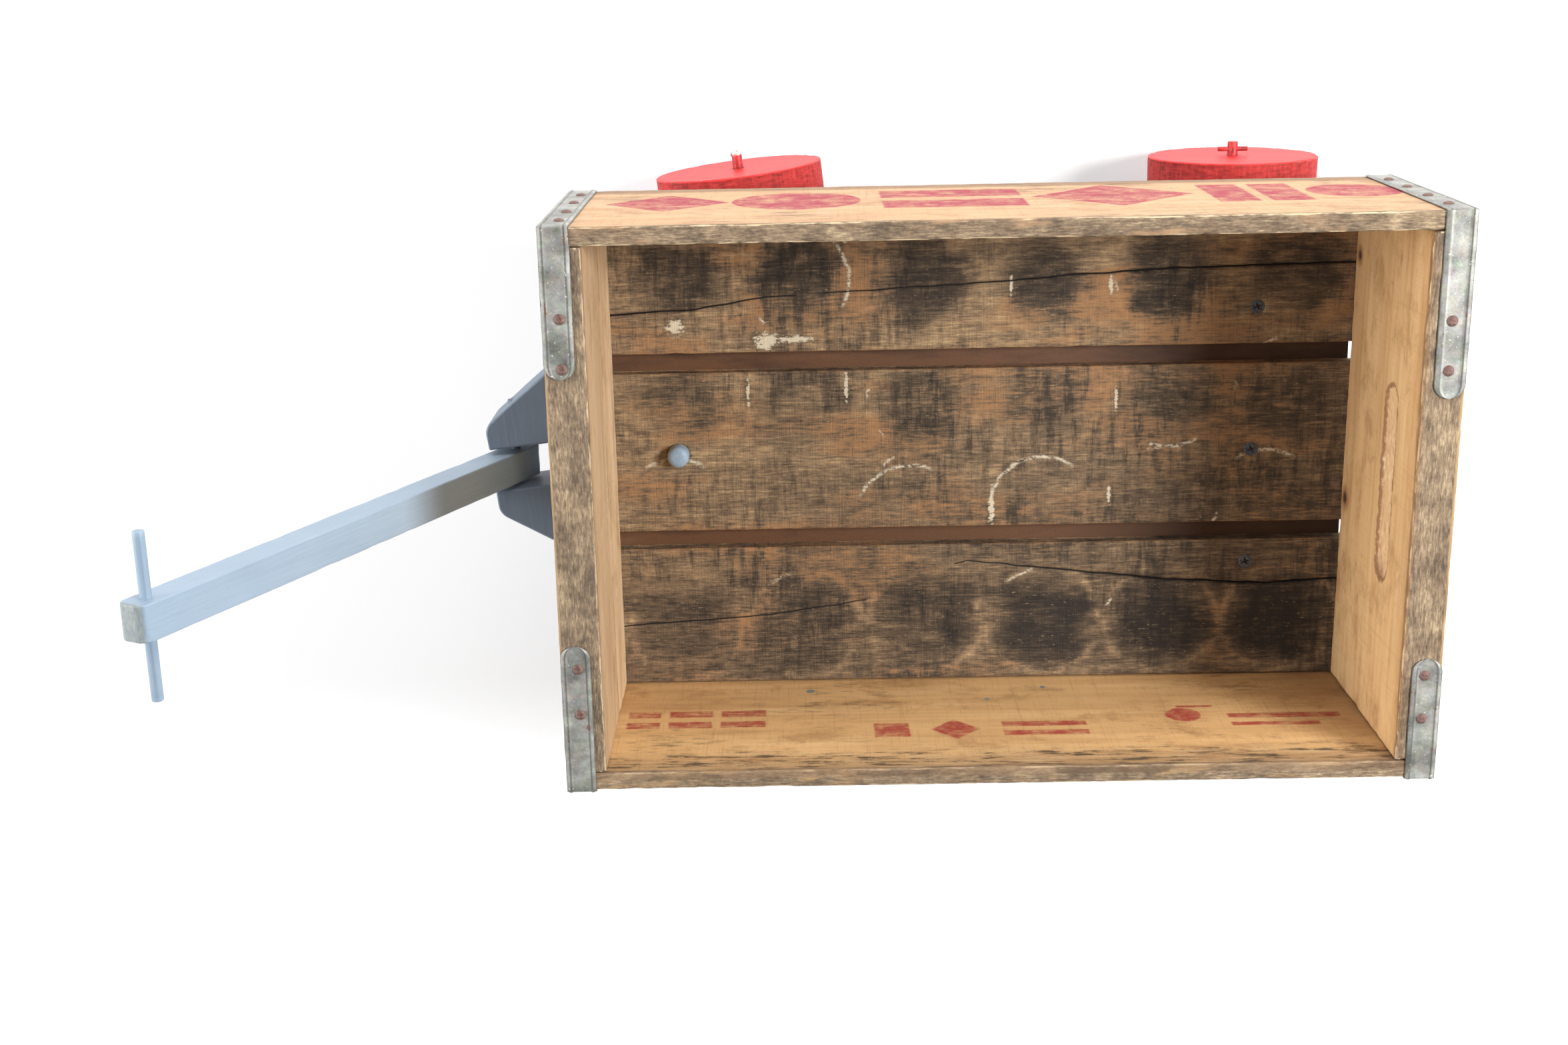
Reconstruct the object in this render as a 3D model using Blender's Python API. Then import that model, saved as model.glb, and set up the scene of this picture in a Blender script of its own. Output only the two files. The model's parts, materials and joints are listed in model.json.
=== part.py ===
"""Toy pull wagon made from a shallow wooden bottle crate.

The wagon stands on its wheels: +Z is up, the handle and the steering are at -X.
Lengths are in metres. Each sub-part is one named object with its own material.
Left and right are the wagon's own, seen from behind: left is +Y.
"""

import math

import bmesh
import bpy
from mathutils import Matrix, Vector

# Crate: an 18.5 by 12 inch bottle crate.
CRATE_LENGTH = 0.470
CRATE_WIDTH = 0.306
SIDE_HEIGHT = 0.150
SIDE_THICK = 0.010
END_HEIGHT = 0.134
END_THICK = 0.022
SLAT_THICK = 0.010
PANEL_THICK = 0.004
GAP = 0.0003  # left between pieces that touch
SLAT_EDGES = (-0.0575, -0.0470, 0.0490, 0.0600)  # y of the slats' edges at the two gaps
PANEL_REAR_LEFT = 0.2140  # the panel's rear edge isn't cut square
PANEL_REAR_RIGHT = 0.2170
HANDHOLD_LENGTH = 0.108
HANDHOLD_HEIGHT = 0.020
HANDHOLD_DEPTH = 0.0012
HANDHOLD_DROP = 0.049  # rim to the middle of the hand-hold

# Corner straps and their nails.
STRAP_WIDTH = 0.0165
STRAP_THICK = 0.0010
STRAP_FALL = 0.1465  # how far the strap runs down the side board
STRAP_REACH = {"front_left": 0.0750, "rear_left": 0.0570, "front_right": 0.0695, "rear_right": 0.0845}
STRAP_NAIL_IN = 0.0095  # strap's outer edge to its line of nails
NAIL_SHANK = 0.0011  # radius
NAIL_HEAD = 0.0028  # radius
NAIL_RISE = 0.0012
NAIL_LENGTH = 0.024
RIM_NAILS = {  # y of each strap's two nails in the rim
    "front_left": (0.0806, 0.1065),
    "rear_left": (0.0716, 0.0973),
    "front_right": (0.0825, 0.1085),
    "rear_right": (0.0938, 0.1184),
}
SIDE_NAILS = (0.0186, 0.0523, 0.0891, 0.1231)  # down from the rim

# Running gear.
WHEEL_RADIUS = 0.0504
WHEEL_THICK = 0.019
WHEEL_EDGE = 0.0008
AXLE_RADIUS = 0.0031
AXLE_DROP = 0.070  # crate's lower edge to the axles
RUNNING_GAP = 0.00009  # radial, where a part turns on a pin
REAR_AXLE_X = 0.1588
REAR_WHEEL_FACE = 0.1589  # y of the outer face
REAR_AXLE_END = 0.1670
BOLSTER_THICK = 0.038
BOLSTER_HEIGHT = 0.089
WHEEL_PLAY = 0.0015
AXLE_PIN_RADIUS = 0.0014
AXLE_PIN_LENGTH = 0.018
AXLE_PIN_OUT = 0.0037  # wheel's face to the cross pin
BROKEN_PIN_OUT = 0.0086
BROKEN_PIN_LENGTH = 0.0064
SCREW_Y = (0.0817, -0.0028, -0.0718)
SCREW_SHANK = 0.0018
SCREW_HEAD = 0.0042
SCREW_HEAD_HEIGHT = 0.0030
SCREW_LENGTH = 0.045

# Steering gear, in its own frame: origin on the king pin, -X to the front.
KING_PIN_X = -0.1767
STEER_REST = math.radians(6.0)  # turned this far to the left in the modelled pose
KING_PIN_RADIUS = 0.0064
KING_PIN_RISE = 0.0090  # above the floor slat
KING_PIN_BELOW = 0.0200  # below the steering block
KING_PEG_RADIUS = 0.0020
KING_PEG_LENGTH = 0.030
BLOCK_THICK = 0.038
FORK_FRONT = -0.1135
FORK_HALF = 0.0270
FORK_FLARE = 0.692  # half width gained per unit of length
FORK_ROUND = 0.010
SLOT_HALF = 0.0125
SLOT_END = -0.068
BLOCK_HALF = 0.100
FRONT_AXLE_BEHIND = 0.0529
FRONT_AXLE_DEPTH = 0.048  # height of the axle block, below the steering block
FRONT_WHEEL_FACE = 0.1523
FRONT_AXLE_END = 0.1639
BLOCK_SCREWS_Y = (0.062, -0.062)
BLOCK_SCREW_LENGTH = 0.070

# Handle: raised in the modelled pose, and slack enough in its slot to lie straight.
HANDLE_PIVOT_OUT = -0.1015
HANDLE_PIVOT_Y = -0.0011
HANDLE_RAISED = math.radians(63.8)
HANDLE_WIDTH = 0.019
HANDLE_DEPTH = 0.0175
HANDLE_LENGTH = 0.3195  # pivot to tip
HANDLE_TAIL = 0.0142
HANDLE_ROUND = 0.0060
GRIP_OUT = 0.3078
GRIP_RADIUS = 0.0030
GRIP_HALF = 0.0425
HINGE_PIN_RADIUS = 0.0032
HINGE_PIN_LEFT = 0.0395
HINGE_PIN_RIGHT = 0.0340

# Heights that follow.
CRATE_FOOT = WHEEL_RADIUS + AXLE_DROP
RIM = CRATE_FOOT + SIDE_HEIGHT
FLOOR_TOP = RIM - END_HEIGHT - GAP
PANEL_TOP = FLOOR_TOP - SLAT_THICK - GAP
PANEL_FOOT = PANEL_TOP - PANEL_THICK
BLOCK_TOP = PANEL_FOOT - GAP
BLOCK_FOOT = BLOCK_TOP - BLOCK_THICK
INNER_HALF = CRATE_WIDTH / 2 - SIDE_THICK - GAP
HALF_LENGTH = CRATE_LENGTH / 2

COLOURS = {
    "pine": ((0.62, 0.44, 0.25), 0.75, 0.0),
    "old_pine": ((0.50, 0.36, 0.22), 0.80, 0.0),
    "stained_pine": ((0.17, 0.12, 0.08), 0.85, 0.0),
    "hardboard": ((0.20, 0.11, 0.06), 0.70, 0.0),
    "galvanised": ((0.38, 0.40, 0.39), 0.45, 0.9),
    "rust": ((0.16, 0.10, 0.08), 0.70, 0.5),
    "black_steel": ((0.05, 0.05, 0.06), 0.50, 0.7),
    "bright_steel": ((0.55, 0.55, 0.56), 0.35, 1.0),
    "blue_paint": ((0.30, 0.38, 0.50), 0.55, 0.0),
    "red_paint": ((0.62, 0.07, 0.07), 0.50, 0.0),
    "bare_pine": ((0.66, 0.50, 0.32), 0.80, 0.0),
}


def clear_scene():
    for obj in list(bpy.data.objects):
        bpy.data.objects.remove(obj, do_unlink=True)


def new_material(name, look):
    colour, roughness, metallic = COLOURS[look]
    material = bpy.data.materials.new(name)
    material.use_nodes = True
    shader = material.node_tree.nodes["Principled BSDF"]
    shader.inputs["Base Color"].default_value = (*colour, 1.0)
    shader.inputs["Roughness"].default_value = roughness
    shader.inputs["Metallic"].default_value = metallic
    material.diffuse_color = (*colour, 1.0)
    return material


def new_object(name, bm, look=None, parent=None, smooth=False):
    """An object from a bmesh. With no look it is a cutter, which never renders."""
    bmesh.ops.recalc_face_normals(bm, faces=bm.faces)
    mesh = bpy.data.meshes.new(name)
    bm.to_mesh(mesh)
    bm.free()
    obj = bpy.data.objects.new(name, mesh)
    bpy.context.scene.collection.objects.link(obj)
    obj.parent = parent
    if look is None:
        obj.hide_render = True
        obj.display_type = "WIRE"
    else:
        mesh.materials.append(new_material(name, look))
        if smooth:
            mesh.shade_smooth()
            mesh.set_sharp_from_angle(angle=math.radians(35))
    return obj


def new_empty(name, location, parent=None, turn=0.0):
    empty = bpy.data.objects.new(name, None)
    bpy.context.scene.collection.objects.link(empty)
    empty.empty_display_size = 0.02
    empty.parent = parent
    empty.location = location
    empty.rotation_euler.z = turn
    return empty


def add_box(bm, low, high):
    size = Vector(high) - Vector(low)
    middle = (Vector(high) + Vector(low)) / 2
    matrix = Matrix.Translation(middle) @ Matrix.Diagonal((*size, 1.0))
    bmesh.ops.create_cube(bm, size=1.0, matrix=matrix)


def add_prism(bm, outline, low, high):
    """A straight prism over an outline of (x, y) points, from z = low to z = high."""
    lower = [bm.verts.new((x, y, low)) for x, y in outline]
    upper = [bm.verts.new((x, y, high)) for x, y in outline]
    bm.faces.new(lower[::-1])
    bm.faces.new(upper)
    for i in range(len(outline)):
        j = (i + 1) % len(outline)
        bm.faces.new((lower[i], lower[j], upper[j], upper[i]))


def add_turned(bm, profile, matrix, steps=24):
    """A turned solid: (radius, height) pairs round local Z. A radius of 0 closes an end,
    and a profile that starts and ends off the axis is closed into a ring."""
    rings = []
    for radius, height in profile:
        if radius == 0.0:
            rings.append([bm.verts.new(matrix @ Vector((0, 0, height)))])
            continue
        ring = []
        for i in range(steps):
            angle = 2 * math.pi * i / steps
            point = Vector((radius * math.cos(angle), radius * math.sin(angle), height))
            ring.append(bm.verts.new(matrix @ point))
        rings.append(ring)
    pairs = list(zip(rings, rings[1:]))
    if len(rings[0]) > 1 and len(rings[-1]) > 1:
        pairs.append((rings[-1], rings[0]))
    for first, second in pairs:
        for i in range(steps):
            j = (i + 1) % steps
            corners = [first[i % len(first)], first[j % len(first)],
                       second[j % len(second)], second[i % len(second)]]
            unique = list(dict.fromkeys(corners))
            if len(unique) > 2:
                bm.faces.new(unique)


def rod_profile(radius, low, high, chamfer=0.0):
    if chamfer:
        return [(0.0, low), (radius - chamfer, low), (radius, low + chamfer),
                (radius, high - chamfer), (radius - chamfer, high), (0.0, high)]
    return [(0.0, low), (radius, low), (radius, high), (0.0, high)]


def along(direction, origin):
    """The matrix that carries local +Z onto a direction, from an origin."""
    turn = Vector((0, 0, 1)).rotation_difference(Vector(direction)).to_matrix().to_4x4()
    return Matrix.Translation(origin) @ turn


def cut(obj, bm, parent=None):
    """Cuts everything in a bmesh out of an object, and keeps the cutter hidden."""
    cutter = new_object(obj.name + "_cutter", bm, parent=parent)
    modifier = obj.modifiers.new("cut", "BOOLEAN")
    modifier.operation = "DIFFERENCE"
    modifier.solver = "EXACT"
    modifier.object = cutter


def rounded(outline, rounds, steps=6):
    """An outline with some of its corners replaced by arcs: rounds maps index to radius."""
    points = []
    for i, corner in enumerate(outline):
        radius = rounds.get(i, 0.0)
        corner = Vector(corner)
        if not radius:
            points.append(corner)
            continue
        before = (Vector(outline[i - 1]) - corner).normalized()
        after = (Vector(outline[(i + 1) % len(outline)]) - corner).normalized()
        half = before.angle(after) / 2
        reach = radius / math.tan(half)
        centre = corner + (before + after).normalized() * radius / math.sin(half)
        start = corner + before * reach - centre
        sweep = start.angle_signed(corner + after * reach - centre)
        for k in range(steps + 1):
            turn = Matrix.Rotation(-sweep * k / steps, 2)
            points.append(centre + turn @ start)
    return [(p.x, p.y) for p in points]


# ---------------------------------------------------------------- crate

def nail_sites():
    """(name, origin, outward direction) of each strap nail."""
    sites = []
    for end, end_sign in (("front", -1), ("rear", 1)):
        for side, side_sign in (("left", 1), ("right", -1)):
            corner = f"{end}_{side}"
            x = end_sign * (HALF_LENGTH - STRAP_NAIL_IN)
            for k, y in enumerate(RIM_NAILS[corner]):
                y *= side_sign
                top = RIM + GAP + STRAP_THICK
                sites.append((f"{corner}_rim_nail_{k + 1}", Vector((x, y, top)), Vector((0, 0, 1))))
            for k, fall in enumerate(SIDE_NAILS):
                y = side_sign * (CRATE_WIDTH / 2 + GAP + STRAP_THICK)
                point = Vector((x, y, RIM - fall))
                sites.append((f"{corner}_side_nail_{k + 1}", point, Vector((0, side_sign, 0))))
    return sites


def add_nail_holes(bm, sites, radius):
    for _, point, out in sites:
        start = point + out * 0.004
        depth = 0.004 + NAIL_LENGTH + GAP
        add_turned(bm, rod_profile(radius, 0.0, depth), along(-out, start), steps=12)


def build_nails(root, sites):
    for name, point, out in sites:
        bm = bmesh.new()
        lift = GAP / 2
        profile = [(0.0, lift + NAIL_RISE), (NAIL_HEAD * 0.62, lift + NAIL_RISE * 0.85),
                   (NAIL_HEAD, lift + NAIL_RISE * 0.25), (NAIL_HEAD, lift), (NAIL_SHANK, lift),
                   (NAIL_SHANK, -NAIL_LENGTH + 0.003), (0.0, -NAIL_LENGTH)]
        add_turned(bm, profile, along(out, point), steps=12)
        new_object(name, bm, "rust", root, smooth=True)


def build_end_board(root, sites, end, sign):
    bm = bmesh.new()
    xs = sorted((sign * HALF_LENGTH, sign * (HALF_LENGTH - END_THICK)))
    add_box(bm, (xs[0], -INNER_HALF, RIM - END_HEIGHT), (xs[1], INNER_HALF, RIM))
    board = new_object(f"{end}_end_board", bm, "old_pine", root)
    holes = bmesh.new()
    add_nail_holes(holes, [s for s in sites if s[0].startswith(end)], NAIL_SHANK + GAP / 2)
    cut(board, holes, root)
    return board


def cut_handhold(board, root):
    """A shallow oval recess on the inner face of the rear board."""
    bm = bmesh.new()
    half = HANDHOLD_LENGTH / 2
    radius = HANDHOLD_HEIGHT / 2
    face = HALF_LENGTH - END_THICK
    outline = [(-half, -radius), (half, -radius), (half, radius), (-half, radius)]
    outline = rounded(outline, {i: radius * 0.999 for i in range(4)}, steps=6)
    add_prism(bm, outline, 0.0, 0.002 + HANDHOLD_DEPTH)
    bmesh.ops.remove_doubles(bm, verts=bm.verts, dist=1e-5)
    # Local x runs along the board, local y up it, and local z into the wood.
    matrix = Matrix(((0, 0, 1, face - 0.002), (1, 0, 0, 0), (0, 1, 0, RIM - HANDHOLD_DROP), (0, 0, 0, 1)))
    bmesh.ops.transform(bm, matrix=matrix, verts=bm.verts)
    cutter = new_object("handhold_cutter", bm, parent=root)
    modifier = board.modifiers.new("handhold", "BOOLEAN")
    modifier.operation = "DIFFERENCE"
    modifier.solver = "EXACT"
    modifier.object = cutter


def build_side_board(root, sites, side, sign):
    bm = bmesh.new()
    ys = sorted((sign * CRATE_WIDTH / 2, sign * (CRATE_WIDTH / 2 - SIDE_THICK)))
    add_box(bm, (-HALF_LENGTH, ys[0], CRATE_FOOT), (HALF_LENGTH, ys[1], RIM))
    board = new_object(f"{side}_side_board", bm, "pine", root)
    holes = bmesh.new()
    mine = [s for s in sites if f"{side}_side_nail" in s[0]]
    add_nail_holes(holes, mine, NAIL_SHANK + GAP / 2)
    cut(board, holes, root)


def build_strap(root, sites, end, side, end_sign, side_sign):
    """A strip folded over the crate's corner: along the rim, then down the side board."""
    corner = f"{end}_{side}"
    outer = CRATE_WIDTH / 2 + GAP
    top = RIM + GAP
    reach = STRAP_REACH[corner]
    fold = STRAP_THICK  # inner radius 0, outer corner chamfered
    section = [(reach, top), (outer, top), (outer, RIM - STRAP_FALL),
               (outer + STRAP_THICK, RIM - STRAP_FALL), (outer + STRAP_THICK, top + STRAP_THICK - fold * 0.6),
               (outer + STRAP_THICK - fold * 0.6, top + STRAP_THICK), (reach, top + STRAP_THICK)]
    xs = sorted((end_sign * HALF_LENGTH, end_sign * (HALF_LENGTH - STRAP_WIDTH)))
    bm = bmesh.new()
    add_prism(bm, section, xs[0], xs[1])
    # The section's x is across the wagon and its y is height; the prism runs along X.
    matrix = Matrix(((0, 0, 1, 0), (side_sign, 0, 0, 0), (0, 1, 0, 0), (0, 0, 0, 1)))
    bmesh.ops.transform(bm, matrix=matrix, verts=bm.verts)
    strap = new_object(f"{corner}_strap", bm, "galvanised", root)

    cutters = bmesh.new()
    mine = [s for s in sites if s[0].startswith(corner)]
    add_nail_holes(cutters, mine, NAIL_SHANK + GAP / 2)
    cut(strap, cutters, root)
    # Round the end that lies on the rim.
    middle = (xs[0] + xs[1]) / 2
    half = STRAP_WIDTH / 2
    arc = [(middle + half * 1.02 * math.cos(a), side_sign * (reach + half - half * math.sin(a)))
           for a in (math.pi * k / 10 for k in range(11))]
    back = side_sign * (reach - 0.002)
    outline = [(xs[1] + 0.002, side_sign * (reach + half)), *arc,
               (xs[0] - 0.002, side_sign * (reach + half)), (xs[0] - 0.002, back), (xs[1] + 0.002, back)]
    tip = bmesh.new()
    add_prism(tip, outline, top - 0.0002, top + STRAP_THICK + 0.001)
    tip_cutter = new_object(strap.name + "_tip_cutter", tip, parent=root)
    modifier = strap.modifiers.new("round_end", "BOOLEAN")
    modifier.operation = "DIFFERENCE"
    modifier.solver = "EXACT"
    modifier.object = tip_cutter


def screw_hole(bm, x, y, top, length):
    """A countersunk clearance hole from a top face down."""
    head = SCREW_HEAD + GAP
    shank = SCREW_SHANK + GAP / 2
    profile = [(0.0, -length - GAP), (shank, -length - GAP), (shank, -SCREW_HEAD_HEIGHT - 2 * GAP),
               (head, -0.0008), (head, 0.002), (0.0, 0.002)]
    add_turned(bm, profile, Matrix.Translation((x, y, top)), steps=16)


def build_floor(root):
    low = -INNER_HALF
    edges = (low, *SLAT_EDGES, -low)
    bottom = FLOOR_TOP - SLAT_THICK
    names = ("right_floor_slat", "centre_floor_slat", "left_floor_slat")
    for name, start, stop, screw_y in zip(names, edges[::2], edges[1::2], reversed(SCREW_Y)):
        bm = bmesh.new()
        add_box(bm, (-HALF_LENGTH + GAP, start, bottom), (HALF_LENGTH - GAP, stop, FLOOR_TOP))
        slat = new_object(name, bm, "stained_pine", root)
        holes = bmesh.new()
        screw_hole(holes, REAR_AXLE_X, screw_y, FLOOR_TOP, SCREW_LENGTH)
        if name.startswith("centre"):
            add_turned(holes, rod_profile(KING_PIN_RADIUS + GAP / 2, bottom - 0.002, FLOOR_TOP + 0.002),
                       Matrix.Translation((KING_PIN_X, 0, 0)), steps=32)
        cut(slat, holes, root)

    bm = bmesh.new()
    outline = [(-HALF_LENGTH + GAP, -INNER_HALF), (PANEL_REAR_RIGHT, -INNER_HALF),
               (PANEL_REAR_LEFT, INNER_HALF), (-HALF_LENGTH + GAP, INNER_HALF)]
    add_prism(bm, outline, PANEL_FOOT, PANEL_TOP)
    panel = new_object("bed_panel", bm, "hardboard", root)
    holes = bmesh.new()
    for y in SCREW_Y:
        add_turned(holes, rod_profile(SCREW_SHANK + GAP / 2, PANEL_FOOT - 0.002, PANEL_TOP + 0.002),
                   Matrix.Translation((REAR_AXLE_X, y, 0)), steps=16)
    add_turned(holes, rod_profile(KING_PIN_RADIUS + GAP / 2, PANEL_FOOT - 0.002, PANEL_TOP + 0.002),
               Matrix.Translation((KING_PIN_X, 0, 0)), steps=32)
    cut(panel, holes, root)


def build_crate(root):
    sites = nail_sites()
    for end, sign in (("front", -1), ("rear", 1)):
        board = build_end_board(root, sites, end, sign)
        if end == "rear":
            cut_handhold(board, root)
        for side, side_sign in (("left", 1), ("right", -1)):
            build_strap(root, sites, end, side, sign, side_sign)
    for side, side_sign in (("left", 1), ("right", -1)):
        build_side_board(root, sites, side, side_sign)
    build_floor(root)
    build_nails(root, sites)


# ---------------------------------------------------------------- running gear

def build_screw(name, parent, matrix, length):
    """A countersunk wood screw. Its head lies at local z = 0 and its point at -length."""
    bm = bmesh.new()
    profile = [(0.0, -0.0002), (SCREW_HEAD, -0.0002), (SCREW_HEAD, -0.0005),
               (SCREW_SHANK, -SCREW_HEAD_HEIGHT), (SCREW_SHANK, -length + 0.004), (0.0, -length)]
    add_turned(bm, profile, matrix, steps=16)
    new_object(name, bm, "black_steel", parent, smooth=True)


def build_axle(name, parent, half, pin_stations, middle):
    """A round rod along local Y, bored across for its pins."""
    bm = bmesh.new()
    matrix = along((0, 1, 0), (middle.x, 0, middle.z))
    add_turned(bm, rod_profile(AXLE_RADIUS, -half, half, 0.0004), matrix, steps=32)
    axle = new_object(name, bm, "red_paint", parent, smooth=True)
    holes = bmesh.new()
    for y in pin_stations:
        start = (middle.x - 0.006, y, middle.z)
        add_turned(holes, rod_profile(AXLE_PIN_RADIUS + GAP / 2, 0.0, 0.012), along((1, 0, 0), start),
                   steps=16)
    cut(axle, holes, parent)


def build_axle_pin(name, parent, centre, length):
    bm = bmesh.new()
    add_turned(bm, rod_profile(AXLE_PIN_RADIUS, -length / 2, length / 2, 0.0003),
               along((1, 0, 0), centre), steps=16)
    look = "bright_steel" if length < AXLE_PIN_LENGTH else "red_paint"
    new_object(name, bm, look, parent, smooth=True)


def build_wheel(name, hub):
    """A plain wooden disc, centred on its hub empty, with its axle bore along local Y."""
    bm = bmesh.new()
    half = WHEEL_THICK / 2
    bore = AXLE_RADIUS + RUNNING_GAP
    profile = [(bore, -half), (WHEEL_RADIUS - WHEEL_EDGE, -half), (WHEEL_RADIUS, -half + WHEEL_EDGE),
               (WHEEL_RADIUS, half - WHEEL_EDGE), (WHEEL_RADIUS - WHEEL_EDGE, half), (bore, half)]
    add_turned(bm, profile, along((0, 1, 0), (0, 0, 0)), steps=64)
    new_object(name, bm, "red_paint", hub, smooth=True)


def build_bored_block(name, parent, low, high, axle, look="blue_paint"):
    """A block with an axle hole right through it along Y, at axle = (x, z)."""
    bm = bmesh.new()
    add_box(bm, low, high)
    block = new_object(name, bm, look, parent)
    holes = bmesh.new()
    start = (axle[0], low[1] - 0.002, axle[1])
    add_turned(holes, rod_profile(AXLE_RADIUS + GAP / 2, 0.0, high[1] - low[1] + 0.004),
               along((0, 1, 0), start), steps=32)
    return block, holes


def build_rear_gear(root):
    middle = Vector((REAR_AXLE_X, 0, WHEEL_RADIUS))
    half_y = REAR_WHEEL_FACE - WHEEL_THICK - WHEEL_PLAY
    low = (middle.x - BOLSTER_THICK / 2, -half_y, BLOCK_TOP - BOLSTER_HEIGHT)
    high = (middle.x + BOLSTER_THICK / 2, half_y, BLOCK_TOP)
    bolster, holes = build_bored_block("rear_bolster", root, low, high, (middle.x, middle.z))
    depth = SCREW_LENGTH - (FLOOR_TOP - BLOCK_TOP) + 0.001
    for y in SCREW_Y:
        add_turned(holes, rod_profile(SCREW_SHANK + GAP / 2, BLOCK_TOP - depth, BLOCK_TOP + 0.002),
                   Matrix.Translation((middle.x, y, 0)), steps=16)
    cut(bolster, holes, root)
    station = REAR_WHEEL_FACE + AXLE_PIN_OUT
    build_axle("rear_axle", root, REAR_AXLE_END, (station, -station), middle)
    for side, sign in (("left", 1), ("right", -1)):
        build_axle_pin(f"rear_{side}_axle_pin", root, (middle.x, sign * station, middle.z), AXLE_PIN_LENGTH)
        hub = new_empty(f"rear_{side}_hub", (middle.x, sign * (REAR_WHEEL_FACE - WHEEL_THICK / 2), middle.z),
                        root)
        build_wheel(f"rear_{side}_wheel", hub)
    for side, y in zip(("left", "centre", "right"), SCREW_Y):
        build_screw(f"{side}_bolster_screw", root, Matrix.Translation((middle.x, y, FLOOR_TOP)), SCREW_LENGTH)


def build_king_pin(root):
    foot = BLOCK_FOOT - KING_PIN_BELOW
    top = FLOOR_TOP + KING_PIN_RISE
    profile = [(0.0, foot), (KING_PIN_RADIUS - 0.001, foot), (KING_PIN_RADIUS, foot + 0.001),
               (KING_PIN_RADIUS, top - 0.003), (KING_PIN_RADIUS - 0.0010, top - 0.0011),
               (KING_PIN_RADIUS - 0.0026, top), (0.0, top)]
    bm = bmesh.new()
    add_turned(bm, profile, Matrix.Translation((KING_PIN_X, 0, 0)), steps=32)
    pin = new_object("king_pin", bm, "blue_paint", root, smooth=True)
    height = BLOCK_FOOT - KING_PEG_RADIUS - 0.0045
    hole = bmesh.new()
    add_turned(hole, rod_profile(KING_PEG_RADIUS + GAP / 2, -0.010, 0.010),
               along((0, 1, 0), (KING_PIN_X, 0, height)), steps=16)
    cut(pin, hole, root)
    bm = bmesh.new()
    add_turned(bm, rod_profile(KING_PEG_RADIUS, -KING_PEG_LENGTH / 2, KING_PEG_LENGTH / 2, 0.0004),
               along((0, 1, 0), (KING_PIN_X, 0, height)), steps=16)
    new_object("king_pin_peg", bm, "bare_pine", root, smooth=True)


# ---------------------------------------------------------------- steering gear

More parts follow.
